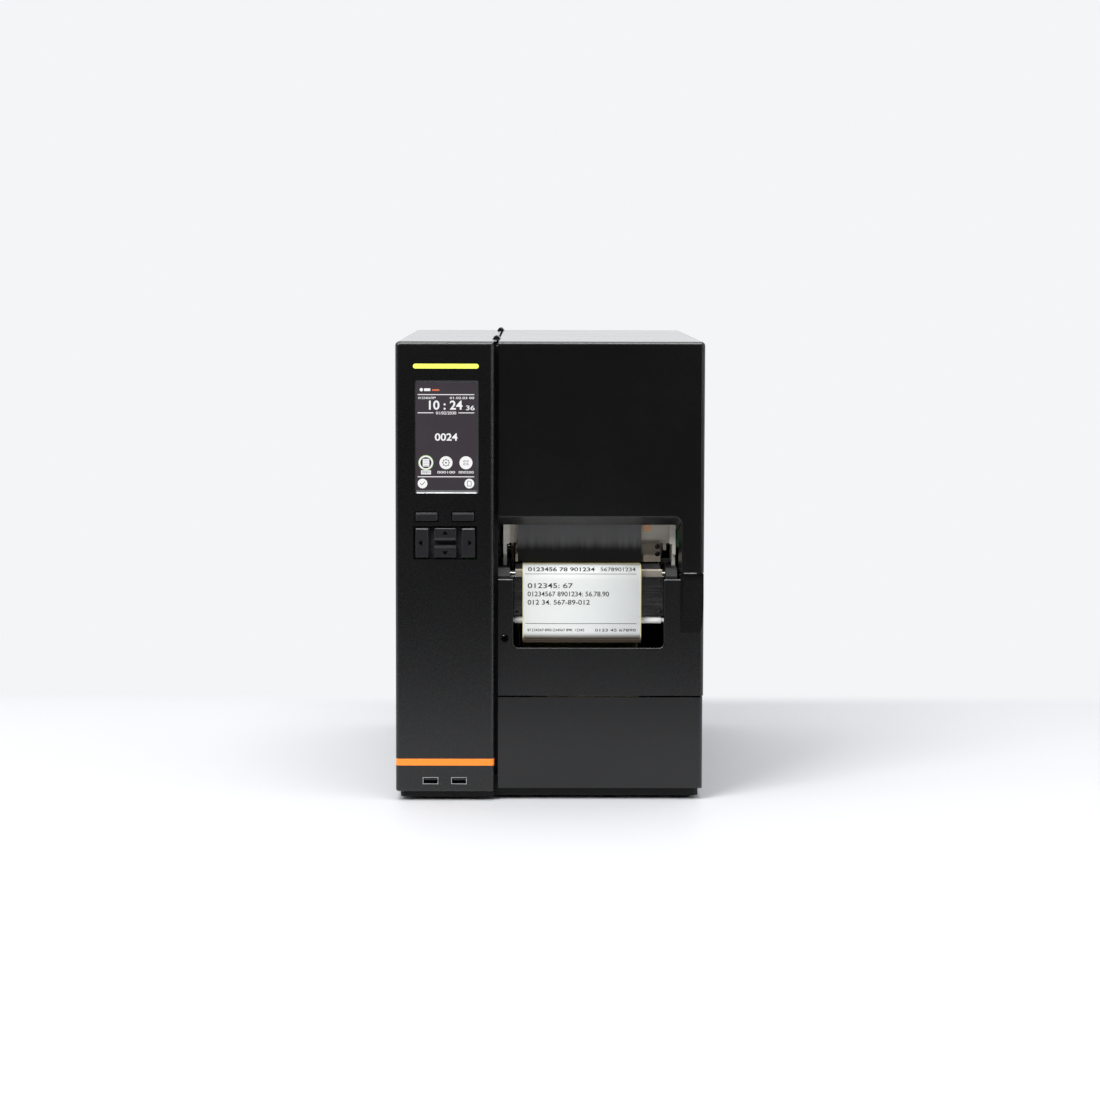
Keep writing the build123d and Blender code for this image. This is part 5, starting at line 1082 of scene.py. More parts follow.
NODE_FINISHES = {
    "guide_bar": Paint.SATIN,
    "tear_bar": Paint.BAR,
    "base_pan": Paint.PAN,
    "hinge_frame_leaves": Paint.BLACKED,
    "hinge_door_leaves": Paint.BLACKED,
    "hinge_pins": Paint.BLACKED,
    "usb_ports": Paint.PORT,
    "rear_connectors": Paint.REAR_PORT,
    "label_roll": Wound(
        "label_roll", swatch(232, 230, 218), 0.55, LABEL_AXIS, core_radius=LABEL_CORE_RADIUS),
    "rewind_roll": Wound(
        "rewind_roll", swatch(222, 214, 178), 0.55, REWIND_AXIS, core_radius=REWIND_CORE_RADIUS),
    "ribbon_supply_roll": ribbon_roll("ribbon_supply", RIBBON_SUPPLY_AXIS),
    "ribbon_rewind_roll": ribbon_roll("ribbon_rewind", RIBBON_REWIND_AXIS),
}
SLOT_FINISHES = {
    finish.name: finish for finish in (
        Paint.COVER, Paint.MOULDING, Paint.KEY, Paint.RUBBER, Paint.TRIM, Paint.LENS, Paint.RIM,
        Paint.BOARD, Paint.ZINC, Paint.BRIGHT, Paint.STAINLESS, Paint.HEAD, Paint.CAST, Paint.WALL,
        Paint.BRONZE, Paint.PANE, Paint.NYLON, Paint.SPINDLE, Paint.FILM, Paint.PAPER, Paint.MOTOR,
        Paint.LEVER, Paint.SOCKET, Paint.GLASS, Paint.POLISHED, Paint.PASSIVATED)
}


def facing_viewer(y: float) -> Placement:
    """Gives the placement of flat marks on a face that looks to the front.

    Args:
        y: The face's place along Y in millimetres.

    Returns:
        What turns a point drawn across and up, in millimetres, into one in the frame.
    """
    return lambda across, up: Vector((across, y, up)) * MM


class Drawing:
    """Flat marks gathered into one mesh: bars, discs, rings, outlines and numerals."""

    def __init__(self, placement: Placement) -> None:
        """Starts an empty drawing on a surface."""
        self.placement = placement
        self.mesh = bmesh.new()

    def outline(self, spots: Iterable[Spot]) -> None:
        """Fills one outline, given anticlockwise as the viewer sees it.

        Args:
            spots: Its corners, across and up, in millimetres.
        """
        self.mesh.faces.new([self.mesh.verts.new(self.placement(*spot)) for spot in spots])

    def bar(self, left: float, right: float, low: float, high: float, rows: int = 1) -> None:
        """Fills an upright rectangle.

        Args:
            left: Its left edge.
            right: Its right edge.
            low: Its lower edge.
            high: Its upper edge.
            rows: How many rows it is cut into, so that it can follow a bend.
        """
        for row in range(rows):
            floor = low + (high - low) * row / rows
            ceiling = low + (high - low) * (row + 1) / rows
            self.outline([(left, floor), (right, floor), (right, ceiling), (left, ceiling)])

    def ring(self, across: float, up: float, outer: float, inner: float = 0.0, sides: int = 40) -> None:
        """Fills a disc, or a ring where it has an inner radius.

        Args:
            across: The middle's place across.
            up: The middle's height.
            outer: The outer radius.
            inner: The inner radius.
            sides: How many sides it has.
        """
        rim = circle(across, up, outer, sides)
        if not inner:
            self.outline(rim)
            return
        hole = circle(across, up, inner, sides)
        for side in range(sides):
            after = (side + 1) % sides
            self.outline([rim[side], rim[after], hole[after], hole[side]])

    def frame(self, left: float, right: float, low: float, high: float, width: float) -> None:
        """Draws a line of even width round a rectangle.

        Args:
            left: Its left edge.
            right: Its right edge.
            low: Its lower edge.
            high: Its upper edge.
            width: The line's width.
        """
        self.stroke([(left, low), (right, low), (right, high), (left, high), (left, low)], width)

    def stroke(self, spots: Sequence[Spot], width: float) -> None:
        """Draws a line of even width through some spots.

        Args:
            spots: The spots, across and up.
            width: The line's width.
        """
        for (x_a, z_a), (x_b, z_b) in zip(spots, spots[1:]):
            run = math.hypot(x_b - x_a, z_b - z_a)
            side_x = (z_a - z_b) / run * width / 2
            side_z = (x_b - x_a) / run * width / 2
            self.outline([(x_a - side_x, z_a - side_z), (x_b - side_x, z_b - side_z),
                          (x_b + side_x, z_b + side_z), (x_a + side_x, z_a + side_z)])

    def numerals(self, text: str, left: float, right: float, low: float, high: float, bold: float = 0.0,
                 rows: int = 1) -> None:
        """Sets numerals to fill a rectangle exactly.

        Args:
            text: The numerals.
            left: The rectangle's left edge.
            right: Its right edge.
            low: Its lower edge.
            high: Its upper edge.
            bold: How much the strokes are thickened, as a share of the type's size.
            rows: How many rows they are cut into, so that they can follow a bend.
        """
        curve = bpy.data.curves.new("numerals", "FONT")
        curve.body = text
        curve.offset = bold
        carrier = add_object("numerals", curve)
        bpy.context.view_layer.update()
        solved = carrier.evaluated_get(bpy.context.evaluated_depsgraph_get())
        source = bpy.data.meshes.new_from_object(solved)
        flat = bmesh.new()
        flat.from_mesh(source)
        xs = [vertex.co.x for vertex in flat.verts]
        zs = [vertex.co.y for vertex in flat.verts]
        wide = (right - left) / (max(xs) - min(xs))
        tall = (high - low) / (max(zs) - min(zs))
        for row in range(1, rows):
            height = min(zs) + (max(zs) - min(zs)) * row / rows
            bmesh.ops.bisect_plane(flat, geom=[*flat.verts, *flat.edges, *flat.faces], dist=1e-6,
                                   plane_co=(0.0, height, 0.0), plane_no=(0.0, 1.0, 0.0))
        made = {vertex: self.mesh.verts.new(self.placement(left + (vertex.co.x - min(xs)) * wide,
                                                           low + (vertex.co.y - min(zs)) * tall))
                for vertex in flat.verts}
        for face in flat.faces:
            self.mesh.faces.new([made[vertex] for vertex in face.verts])
        flat.free()
        bpy.data.objects.remove(carrier)
        bpy.data.curves.remove(curve)
        bpy.data.meshes.remove(source)

    def marks(self, marks: Iterable["Mark"], left: float, top: float) -> None:
        """Draws some marks on a page.

        Args:
            marks: The marks, in order.
            left: The page's left edge.
            top: Its upper edge.
        """
        for mark in marks:
            mark.draw(self, left, top)


@dataclass(frozen=True)
class Mark:
    """A filled bar on a page, measured in millimetres to the right of and down from its top left corner."""

    left: float
    right: float
    low: float
    high: float
    rows: int = 1

    def draw(self, page: Drawing, left: float, top: float) -> None:
        """Draws the bar on a page with the given left and upper edges."""
        page.bar(left + self.left, left + self.right, top - self.low, top - self.high, self.rows)


@dataclass(frozen=True)
class Disc(Mark):
    """A disc on a page, or a ring where its hole has a radius, as high and as wide as its rectangle."""

    hole: float = 0.0

    def draw(self, page: Drawing, left: float, top: float) -> None:
        """Draws the disc on a page with the given left and upper edges."""
        across, down = (self.left + self.right) / 2, (self.low + self.high) / 2
        page.ring(left + across, top - down, (self.right - self.left) / 2, self.hole)


@dataclass(frozen=True)
class Numerals(Mark):
    """Numerals that fill their rectangle on a page."""

    text: str = ""
    bold: float = 0.01

    def draw(self, page: Drawing, left: float, top: float) -> None:
        """Draws the numerals on a page with the given left and upper edges."""
        page.numerals(self.text, left + self.left, left + self.right, top - self.low, top - self.high,
                      self.bold, self.rows)


def prism(mesh: bmesh.types.BMesh, outline: Sequence[Spot], near: Placement, far: Placement) -> None:
    """Joins two placements of one outline into a solid.

    Args:
        mesh: The mesh to add to.
        outline: The outline, across and up, in millimetres.
        near: The placement of its near face.
        far: The placement of its far face.
    """
    front = [mesh.verts.new(near(*spot)) for spot in outline]
    back = [mesh.verts.new(far(*spot)) for spot in outline]
    mesh.faces.new(front)
    mesh.faces.new(list(reversed(back)))
    for side in range(len(outline)):
        after = (side + 1) % len(outline)
        mesh.faces.new([front[side], back[side], back[after], front[after]])


def box(mesh: bmesh.types.BMesh, xs: Spot, ys: Spot, zs: Spot, bevel: float = 0.0) -> None:
    """Adds a block with chamfered edges.

    Args:
        mesh: The mesh to add to.
        xs: Its limits along X in millimetres.
        ys: Its limits along Y.
        zs: Its limits along Z.
        bevel: The width of its chamfers.
    """
    part = bmesh.new()
    corners = [(xs[0], zs[0]), (xs[1], zs[0]), (xs[1], zs[1]), (xs[0], zs[1])]
    prism(part, corners, facing_viewer(ys[0]), facing_viewer(ys[1]))
    if bevel:
        bmesh.ops.bevel(part, geom=part.edges[:], offset=bevel * MM, segments=1, affect="EDGES")
    made = {vertex: mesh.verts.new(vertex.co) for vertex in part.verts}
    for face in part.faces:
        mesh.faces.new([made[vertex] for vertex in face.verts])
    part.free()


@dataclass(frozen=True)
class ScrewHead:
    """A pan head with a cross recess, in shares of its radius."""

    ring_shares: tuple[float, ...] = (0.0, 0.10, 0.16, 0.30, 0.46, 0.54, 0.75, 0.90, 1.0)
    sides: int = 32
    dome_share: float = 0.55
    fullness: float = 0.86
    recess_reach_share: float = 0.5
    recess_width_share: float = 0.13
    recess_depth_share: float = 0.3

    def rise(self, share: float, spot: Vector, radius: float) -> float:
        """Gives the head's height at a spot.

        Args:
            share: How far out the spot lies.
            spot: The spot, in millimetres from the head's middle.
            radius: The head's radius.

        Returns:
            The height in millimetres.
        """
        dome = self.dome_share * radius * math.sqrt(max(0.0, 1 - (share * self.fullness) ** 2))
        near_arm = min(abs(spot.x), abs(spot.y)) < self.recess_width_share * radius
        in_recess = share < self.recess_reach_share and near_arm
        return dome - (self.recess_depth_share * radius if in_recess else 0.0)

    def add(self, mesh: bmesh.types.BMesh, matrix: Matrix, radius: float) -> None:
        """Adds one head to a mesh.

        Args:
            mesh: The mesh to add to.
            matrix: Where the head stands, in metres.
            radius: Its radius in millimetres.
        """
        spokes = [Vector((x, y, 0)) for x, y in circle(0.0, 0.0, 1.0, self.sides)]
        rings = []
        for share in self.ring_shares:
            ring = []
            for spoke in spokes:
                spot = spoke * share * radius
                spot.z = self.rise(share, spot, radius)
                ring.append(mesh.verts.new(matrix @ (spot * MM)))
            rings.append(ring)
        rings.append([mesh.verts.new(matrix @ (spoke * radius * MM)) for spoke in spokes])
        for lower, upper in zip(rings, rings[1:]):
            for side in range(self.sides):
                after = (side + 1) % self.sides
                mesh.faces.new([lower[side], upper[side], upper[after], lower[after]])
        bmesh.ops.remove_doubles(mesh, verts=rings[0], dist=1e-7)


@dataclass
class Assembly:
    """A group of pieces that are built and reported together."""

    pieces: list[bpy.types.Object] = field(default_factory=list, init=False)

    def keep(self, name: str, mesh: bmesh.types.BMesh, finish: Finish, body: str, slot: str | None = None,
             smooth: bool = False) -> bpy.types.Object:
        """Makes one piece of a mesh, dresses it and lets it ride on a body.

        Args:
            name: The piece's name.
            mesh: Its mesh, in metres, in the frame.
            finish: Its finish.
            body: The body that carries it.
            slot: The record's slot that its finish belongs to, if it has one. Not used.
            smooth: Whether its faces are shaded as one round surface.

        Returns:
            The piece.
        """
        if smooth:
            bmesh.ops.recalc_face_normals(mesh, faces=mesh.faces)
        data = bpy.data.meshes.new(name)
        mesh.to_mesh(data)
        mesh.free()
        if smooth:
            data.shade_smooth()
            data.set_sharp_from_angle(angle=math.radians(40))
        return self.carry(add_object(name, data), finish, body)

    def carry(self, piece: bpy.types.Object, finish: Finish, body: str) -> bpy.types.Object:
        """Dresses a piece and lets it ride on a body.

        Args:
            piece: The piece.
            finish: Its finish.
            body: The body that carries it.

        Returns:
            The piece.
        """
        piece.data.materials.append(finish.material())
        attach(piece, body)
        self.pieces.append(piece)
        LOG.info("%s rides on %s", piece.name, body)
        return piece

    def wire(self, name: str, points: Sequence[Place], radius: float, finish: Finish,
             body: str) -> bpy.types.Object:
        """Makes a round wire along some points.

        Args:
            name: The piece's name.
            points: The points in millimetres.
            radius: The wire's radius in millimetres.
            finish: Its finish.
            body: The body that carries it.

        Returns:
            The piece.
        """
        curve = bpy.data.curves.new(name, "CURVE")
        curve.dimensions = "3D"
        curve.bevel_depth = radius * MM
        curve.bevel_resolution = 2
        curve.use_fill_caps = True
        spline = curve.splines.new("NURBS")
        spline.points.add(len(points) - 1)
        for point, place in zip(spline.points, points):
            point.co = (*(Vector(place) * MM), 1.0)
        spline.order_u = 3
        spline.use_endpoint_u = True
        return self.carry(add_object(name, curve), finish, body)

    def spring(self, name: str, start: Place, end: Place, radius: float, turns: int, gauge: float,
               body: str) -> bpy.types.Object:
        """Makes a coil spring between two points.

        Args:
            name: The piece's name.
            start: Where its axis begins, in millimetres.
            end: Where its axis ends.
            radius: The coil's radius.
            turns: How many turns it has.
            gauge: The wire's radius.
            body: The body that carries it.

        Returns:
            The piece.
        """
        first, last = Vector(start), Vector(end)
        axis = (last - first).normalized()
        side = axis.orthogonal().normalized()
        other = axis.cross(side)
        steps = turns * 14
        points = []
        for step in range(steps + 1):
            turn = 2 * math.pi * turns * step / steps
            spoke = side * math.cos(turn) + other * math.sin(turn)
            points.append(tuple(first.lerp(last, step / steps) + spoke * radius))
        return self.wire(name, points, gauge, Paint.SPRING, body)

    def screws(self, name: str, places: Iterable[Place], aim: Place, radius: float, finish: Finish,
               body: str) -> bpy.types.Object:
        """Makes pan-head screws with a cross recess.

        Args:
            name: The piece's name.
            places: Where each head rests, in millimetres.
            aim: The way the heads look.
            radius: The head's radius in millimetres.
            finish: Their finish.
            body: The body that carries them.

        Returns:
            The piece.
        """
        mesh = bmesh.new()
        turn = Vector(aim).to_track_quat("Z", "Y").to_matrix().to_4x4()
        head = ScrewHead()
        for place in places:
            head.add(mesh, Matrix.Translation(Vector(place) * MM) @ turn, radius)
        return self.keep(name, mesh, finish, body, smooth=True)


@dataclass
class Cabinet(Assembly):
    """The casing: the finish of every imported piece, and the screws that hold the covers."""

    cover_screw_radius: float = 3.0
    rear_screw_inset: float = 8.0
    rear_screw_rises: tuple[float, ...] = (14.0, 140.0, 270.0)
    rear_screw_drop: float = 12.0
    hinge_screw_radius: float = 2.2
    hinge_screw_x: float = -34.0
    hinge_screw_z: float = 408.5
    hinge_leaf_inset: float = 20.0
    hinge_screw_offset: float = 11.0
    cover_screw: Place = (-40.5, -241.3, 146.2)
    side_x: float = -136.9
    side_places: tuple[Spot, ...] = (
        (-190.0, 17.0), (-60.0, 17.0), (80.0, 17.0), (238.0, 60.0), (238.0, 380.0))
    wall_x: float = -40.0
    wall_places: tuple[Spot, ...] = (
        (-120.0, 392.0), (40.0, 392.0), (232.0, 392.0), (232.0, 120.0), (60.0, 60.0), (-60.0, 60.0),
        (-105.0, 300.0), (20.0, 340.0))

    def dress(self, nodes: dict[str, bpy.types.Object]) -> None:
        """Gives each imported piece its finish.

        Args:
            nodes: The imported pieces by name.
        """
        for name, node in nodes.items():
            for slot in node.material_slots:
                finish = NODE_FINISHES.get(name) or SLOT_FINISHES[slot.material.name]
                if finish is Paint.GLASS:
                    finish = ControlPanel.glass()
                slot.material = finish.material()
            LOG.info("%s dressed", name)

    def build(self) -> None:
        """Adds the screws of the covers, hinges and rear panel."""
        low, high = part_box("rear_panel")
        sides = (low.x / MM + self.rear_screw_inset, high.x / MM - self.rear_screw_inset)
        rows = [*(low.z / MM + rise for rise in self.rear_screw_rises), high.z / MM - self.rear_screw_drop]
        places = [(x, high.y / MM, z) for x in sides for z in rows]
        radius = self.cover_screw_radius
        self.screws("rear_panel_screws", places, (0, 1, 0), radius, Paint.SCREW, "frame")
        self.hinge_screws()
        side = [(self.side_x, y, z) for y, z in self.side_places]
        self.screws("side_screws", side, (-1, 0, 0), radius, Paint.SCREW, "frame")
        wall = [(self.wall_x, y, z) for y, z in self.wall_places]
        self.screws("wall_screws", wall, (1, 0, 0), radius, Paint.SCREW_ZINC, "frame")
        # The cover screw is a real screw given the dead black of the key marks: painted shade of its deep
        # counterbore.
        self.screws("cover_screw", [self.cover_screw], (0, -1, 0), radius, Paint.KEY_MARK, "frame")

    def hinge_screws(self) -> None:
        """Adds two screws to each door leaf of the hinges."""
        low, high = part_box("hinge_door_leaves")
        middles = (low.y / MM + self.hinge_leaf_inset, high.y / MM - self.hinge_leaf_inset)
        places = [(self.hinge_screw_x, middle + offset, self.hinge_screw_z)
                  for middle in middles for offset in (-self.hinge_screw_offset, self.hinge_screw_offset)]
        self.screws("hinge_screws", places, (0, 0, -1), self.hinge_screw_radius, Paint.SCREW_ZINC, "door")


@dataclass
class ControlPanel(Assembly):
    """The control column's front: the picture on the screen, the keys' arrows and mat, and painted shade in
    their seams.
    """

    left: float = -120.0
    right: float = -65.9
    low: float = 279.4
    high: float = 375.2
    lift: float = 0.06
    arrow: float = 3.4
    arrow_corners: tuple[Spot, ...] = ((0.55, 0.0), (-0.45, 0.75), (-0.45, -0.75))
    pad: tuple[tuple[str, str], ...] = (
        ("key_right", "button_right"), ("key_up", "button_up"), ("key_left", "button_left"),
        ("key_down", "button_down"))
    seam: float = 0.9
    switch_height: float = 2.9
    mat_depth: float = 3.5
    mat_bevel: float = 0.1
    flange: float = 1.5
    overlap: float = 0.8
    icon_drop: float = 71.0
    foot_drop: float = 89.6
    gear_icon: float = 27.1
    grid_icon: float = 44.9
    status_marks: tuple[Mark, ...] = (
        Disc(3.7, 6.7, 7.5, 4.5),
        Mark(7.6, 13.2, 7.2, 4.8),
        Mark(1.9, 52.2, 10.7, 10.0),
        Mark(1.9, 15.9, 26.9, 26.2),
        Mark(38.2, 52.2, 26.9, 26.2),
        Mark(1.9, 52.2, 83.9, 83.2),
        Numerals(2.4, 18.0, 14.3, 12.3, text="0123456789"),
        Numerals(30.5, 52.2, 14.3, 12.3, text="01.02.03 00"),
        Numerals(12.0, 41.8, 23.8, 15.6, text="10 : 24", bold=0.02),
        Numerals(44.9, 52.6, 24.2, 20.0, text="36"),
        Numerals(18.2, 36.2, 28.0, 25.4, text="01/02/2030"),
        Numerals(17.2, 37.4, 51.4, 44.8, text="0024", bold=0.02),
    )
    accent_marks: tuple[Mark, ...] = (Mark(14.8, 21.2, 7.0, 5.6),)
    icon_marks: tuple[Mark, ...] = (
        Disc(2.9, 15.5, 77.3, 64.7, hole=5.0),
        Mark(6.4, 12.2, 74.4, 67.6),
        Disc(21.3, 32.9, 76.8, 65.2),
        Disc(39.1, 50.7, 76.8, 65.2),
        Mark(4.9, 13.7, 81.4, 77.8),
        Numerals(19.4, 35.2, 80.6, 78.4, text="000100"),
        Numerals(38.4, 51.8, 80.6, 78.4, text="000200"),
        Disc(1.9, 10.5, 93.9, 85.3),
        Disc(43.6, 52.2, 93.9, 85.3),
    )
    ring_marks: tuple[Mark, ...] = (Disc(2.45, 15.95, 77.75, 64.25, hole=6.3),)
    glyph_marks: tuple[Mark, ...] = (Numerals(5.7, 12.9, 80.6, 78.5, text="0001"),)
    text_rows: int = 4
    text_span: Span = (7.0, 11.6)
    text_rise: float = 2.1
    text_pitch: float = 1.6
    text_line: float = 0.3
    grid_offsets: Span = (-2.2, 0.5)
    check_width: float = 0.6
    page_width: float = 0.5
    check: tuple[Spot, ...] = ((4.2, 0.2), (5.6, -1.4), (8.4, 1.6))
    page: tuple[Spot, ...] = (
        (46.2, -2.2), (46.2, 2.2), (48.6, 2.2), (49.6, 1.2), (49.6, -2.2), (46.2, -2.2))

    @classmethod
    def glass(cls) -> ScreenGlass:
        """Gives the screen's finish, with the glow inside the display's window."""
        window = (cls.left, cls.right, cls.low, cls.high)
        return replace(Paint.GLASS, window=window)

    def layer(self, depth: int) -> Drawing:
        """Starts a drawing on the glass, the given number of lifts in front of it."""
        return Drawing(facing_viewer(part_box("touch_screen")[0].y / MM - self.lift * depth))

    def build(self) -> None:
        """Adds the screen's picture, the keys' arrows and mat, and the painted shade of their seams."""
        self.picture("screen_status", self.status_marks, Paint.WHITE_MARK)
        self.picture("screen_accent", self.accent_marks, Paint.ORANGE_MARK)
        self.picture("screen_icons", self.icon_marks, Paint.WHITE_MARK)
        self.picture("screen_ring", self.ring_marks, Paint.GREEN_MARK)
        self.glyphs()
        self.arrows()
        self.key_mat()
        self.key_gap_shade()

    def picture(self, name: str, marks: Iterable[Mark], finish: Finish) -> None:
        """Draws the marks of one colour on the glass.

        Args:
            name: The piece's name.
            marks: The marks, measured from the picture's top left corner.
            finish: Their finish.
        """
        drawing = self.layer(1)
        drawing.marks(marks, self.left, self.high)
        self.keep(name, drawing.mesh, finish, "frame")

    def glyphs(self) -> None:
        """Draws the dark signs in the icons: text, a gear, a grid of squares, a check mark and a page."""
        dark = self.layer(2)
        middle = self.high - self.icon_drop
        start, end = (self.left + edge for edge in self.text_span)
        for row in range(self.text_rows):
            floor = middle + self.text_rise - row * self.text_pitch
            dark.bar(start, end, floor, floor + self.text_line)
        self.gear(dark, self.left + self.gear_icon, middle)
        for column in self.grid_offsets:
            for row in self.grid_offsets:
                self.square(dark, self.left + self.grid_icon + column, middle + row)
        dark.marks(self.glyph_marks, self.left, self.high)
        foot = self.high - self.foot_drop
        dark.stroke([(self.left + across, foot + up) for across, up in self.check], self.check_width)
        dark.stroke([(self.left + across, foot + up) for across, up in self.page], self.page_width)
        self.keep("screen_glyphs", dark.mesh, Paint.DARK_MARK, "frame")

    @staticmethod
    def gear(dark: Drawing, across: float, up: float, hub: float = 2.9, reach: float = 3.5,
             width: float = 0.8, teeth: int = 8) -> None:
        """Draws a gear.

        Args:
            dark: The drawing.
            across: The gear's middle across.
            up: Its middle's height.
            hub: The outer radius of its ring.
            reach: How far out its teeth stand.
            width: A tooth's width, and the radius of the disc in the middle.
            teeth: How many teeth it has.
        """
        dark.ring(across, up, hub, hub - 0.5)
        for start, end in zip(circle(across, up, hub - 0.1, teeth), circle(across, up, reach, teeth)):
            dark.stroke([start, end], width)
        dark.ring(across, up, width)

    @staticmethod
    def square(dark: Drawing, left: float, floor: float, size: float = 1.7, line: float = 0.35) -> None:
        """Draws the outline of a small square.

        Args:
            dark: The drawing.
            left: The square's left edge.
            floor: Its lower edge.
            size: Its size.
            line: Its line's width.
        """
        dark.bar(left, left + size, floor, floor + line)
        dark.bar(left, left + size, floor + size - line, floor + size)
        dark.bar(left, left + line, floor, floor + size)
        dark.bar(left + size - line, left + size, floor, floor + size)

    def key_gap_shade(self) -> None:
        """Paints shade into the seams round the two soft keys and round the pad: a black line over each gap.
        """
        spans = [("select_key_left", "select_key_left"), ("select_key_right", "select_key_right"),
                 ("key_left", "key_right")]
        drawing = Drawing(facing_viewer(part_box("front_bezel")[0].y / MM - self.lift / 2))
        for first, last in spans:
            low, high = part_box(first)[0] / MM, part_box(last)[1] / MM
            inset = self.flange - self.seam / 2
            rise = -self.seam * 1.5 if first == "key_left" else inset
            drawing.frame(low.x + inset, high.x - inset, low.z + rise, high.z - rise, self.seam)
        self.keep("key_gap_shade", drawing.mesh, Paint.KEY_MARK, "frame")

    def key_mat(self) -> None:
        """Fills the gaps between the keys of the pad with the ribs of their rubber mat."""
        near = {name: [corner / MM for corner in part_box(name)] for name, _ in self.pad}
        (left, right), (up_low, up_high) = (near["key_left"][1].x, near["key_right"][0].x), near["key_up"]
        down_low, down_high = near["key_down"]
        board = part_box("panel_board")[0].y / MM + self.switch_height
        depth = (board - self.mat_depth, board)
        heights = (down_low.z + self.flange, up_high.z - self.flange)
        mesh = bmesh.new()
        for start, end in ((left, up_low.x), (up_high.x, right)):
            box(mesh, (start - self.overlap, end + self.overlap), depth, heights, self.mat_bevel)
        box(mesh, (up_low.x + self.flange, up_high.x - self.flange), depth,
            (down_high.z - self.overlap, up_low.z + self.overlap), self.mat_bevel)
        self.keep("key_mat", mesh, Paint.RUBBER, "frame")

    def arrows(self) -> None:
        """Prints an arrow on each of the four keys of the pad, each a quarter turn on from the last."""
        for quarter, (key, body) in enumerate(self.pad):
            low, high = (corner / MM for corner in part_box(key))
            middle_x, middle_z = (low.x + high.x) / 2, (low.z + high.z) / 2
            drawing = Drawing(facing_viewer(low.y - self.lift))
            turn = quarter * math.pi / 2
            drawing.outline([
                (middle_x + self.arrow * (x * math.cos(turn) - z * math.sin(turn)),
                 middle_z + self.arrow * (x * math.sin(turn) + z * math.cos(turn)))
                for x, z in self.arrow_corners])
            self.keep(f"{key}_arrow", drawing.mesh, Paint.KEY_MARK, body, "black_key")


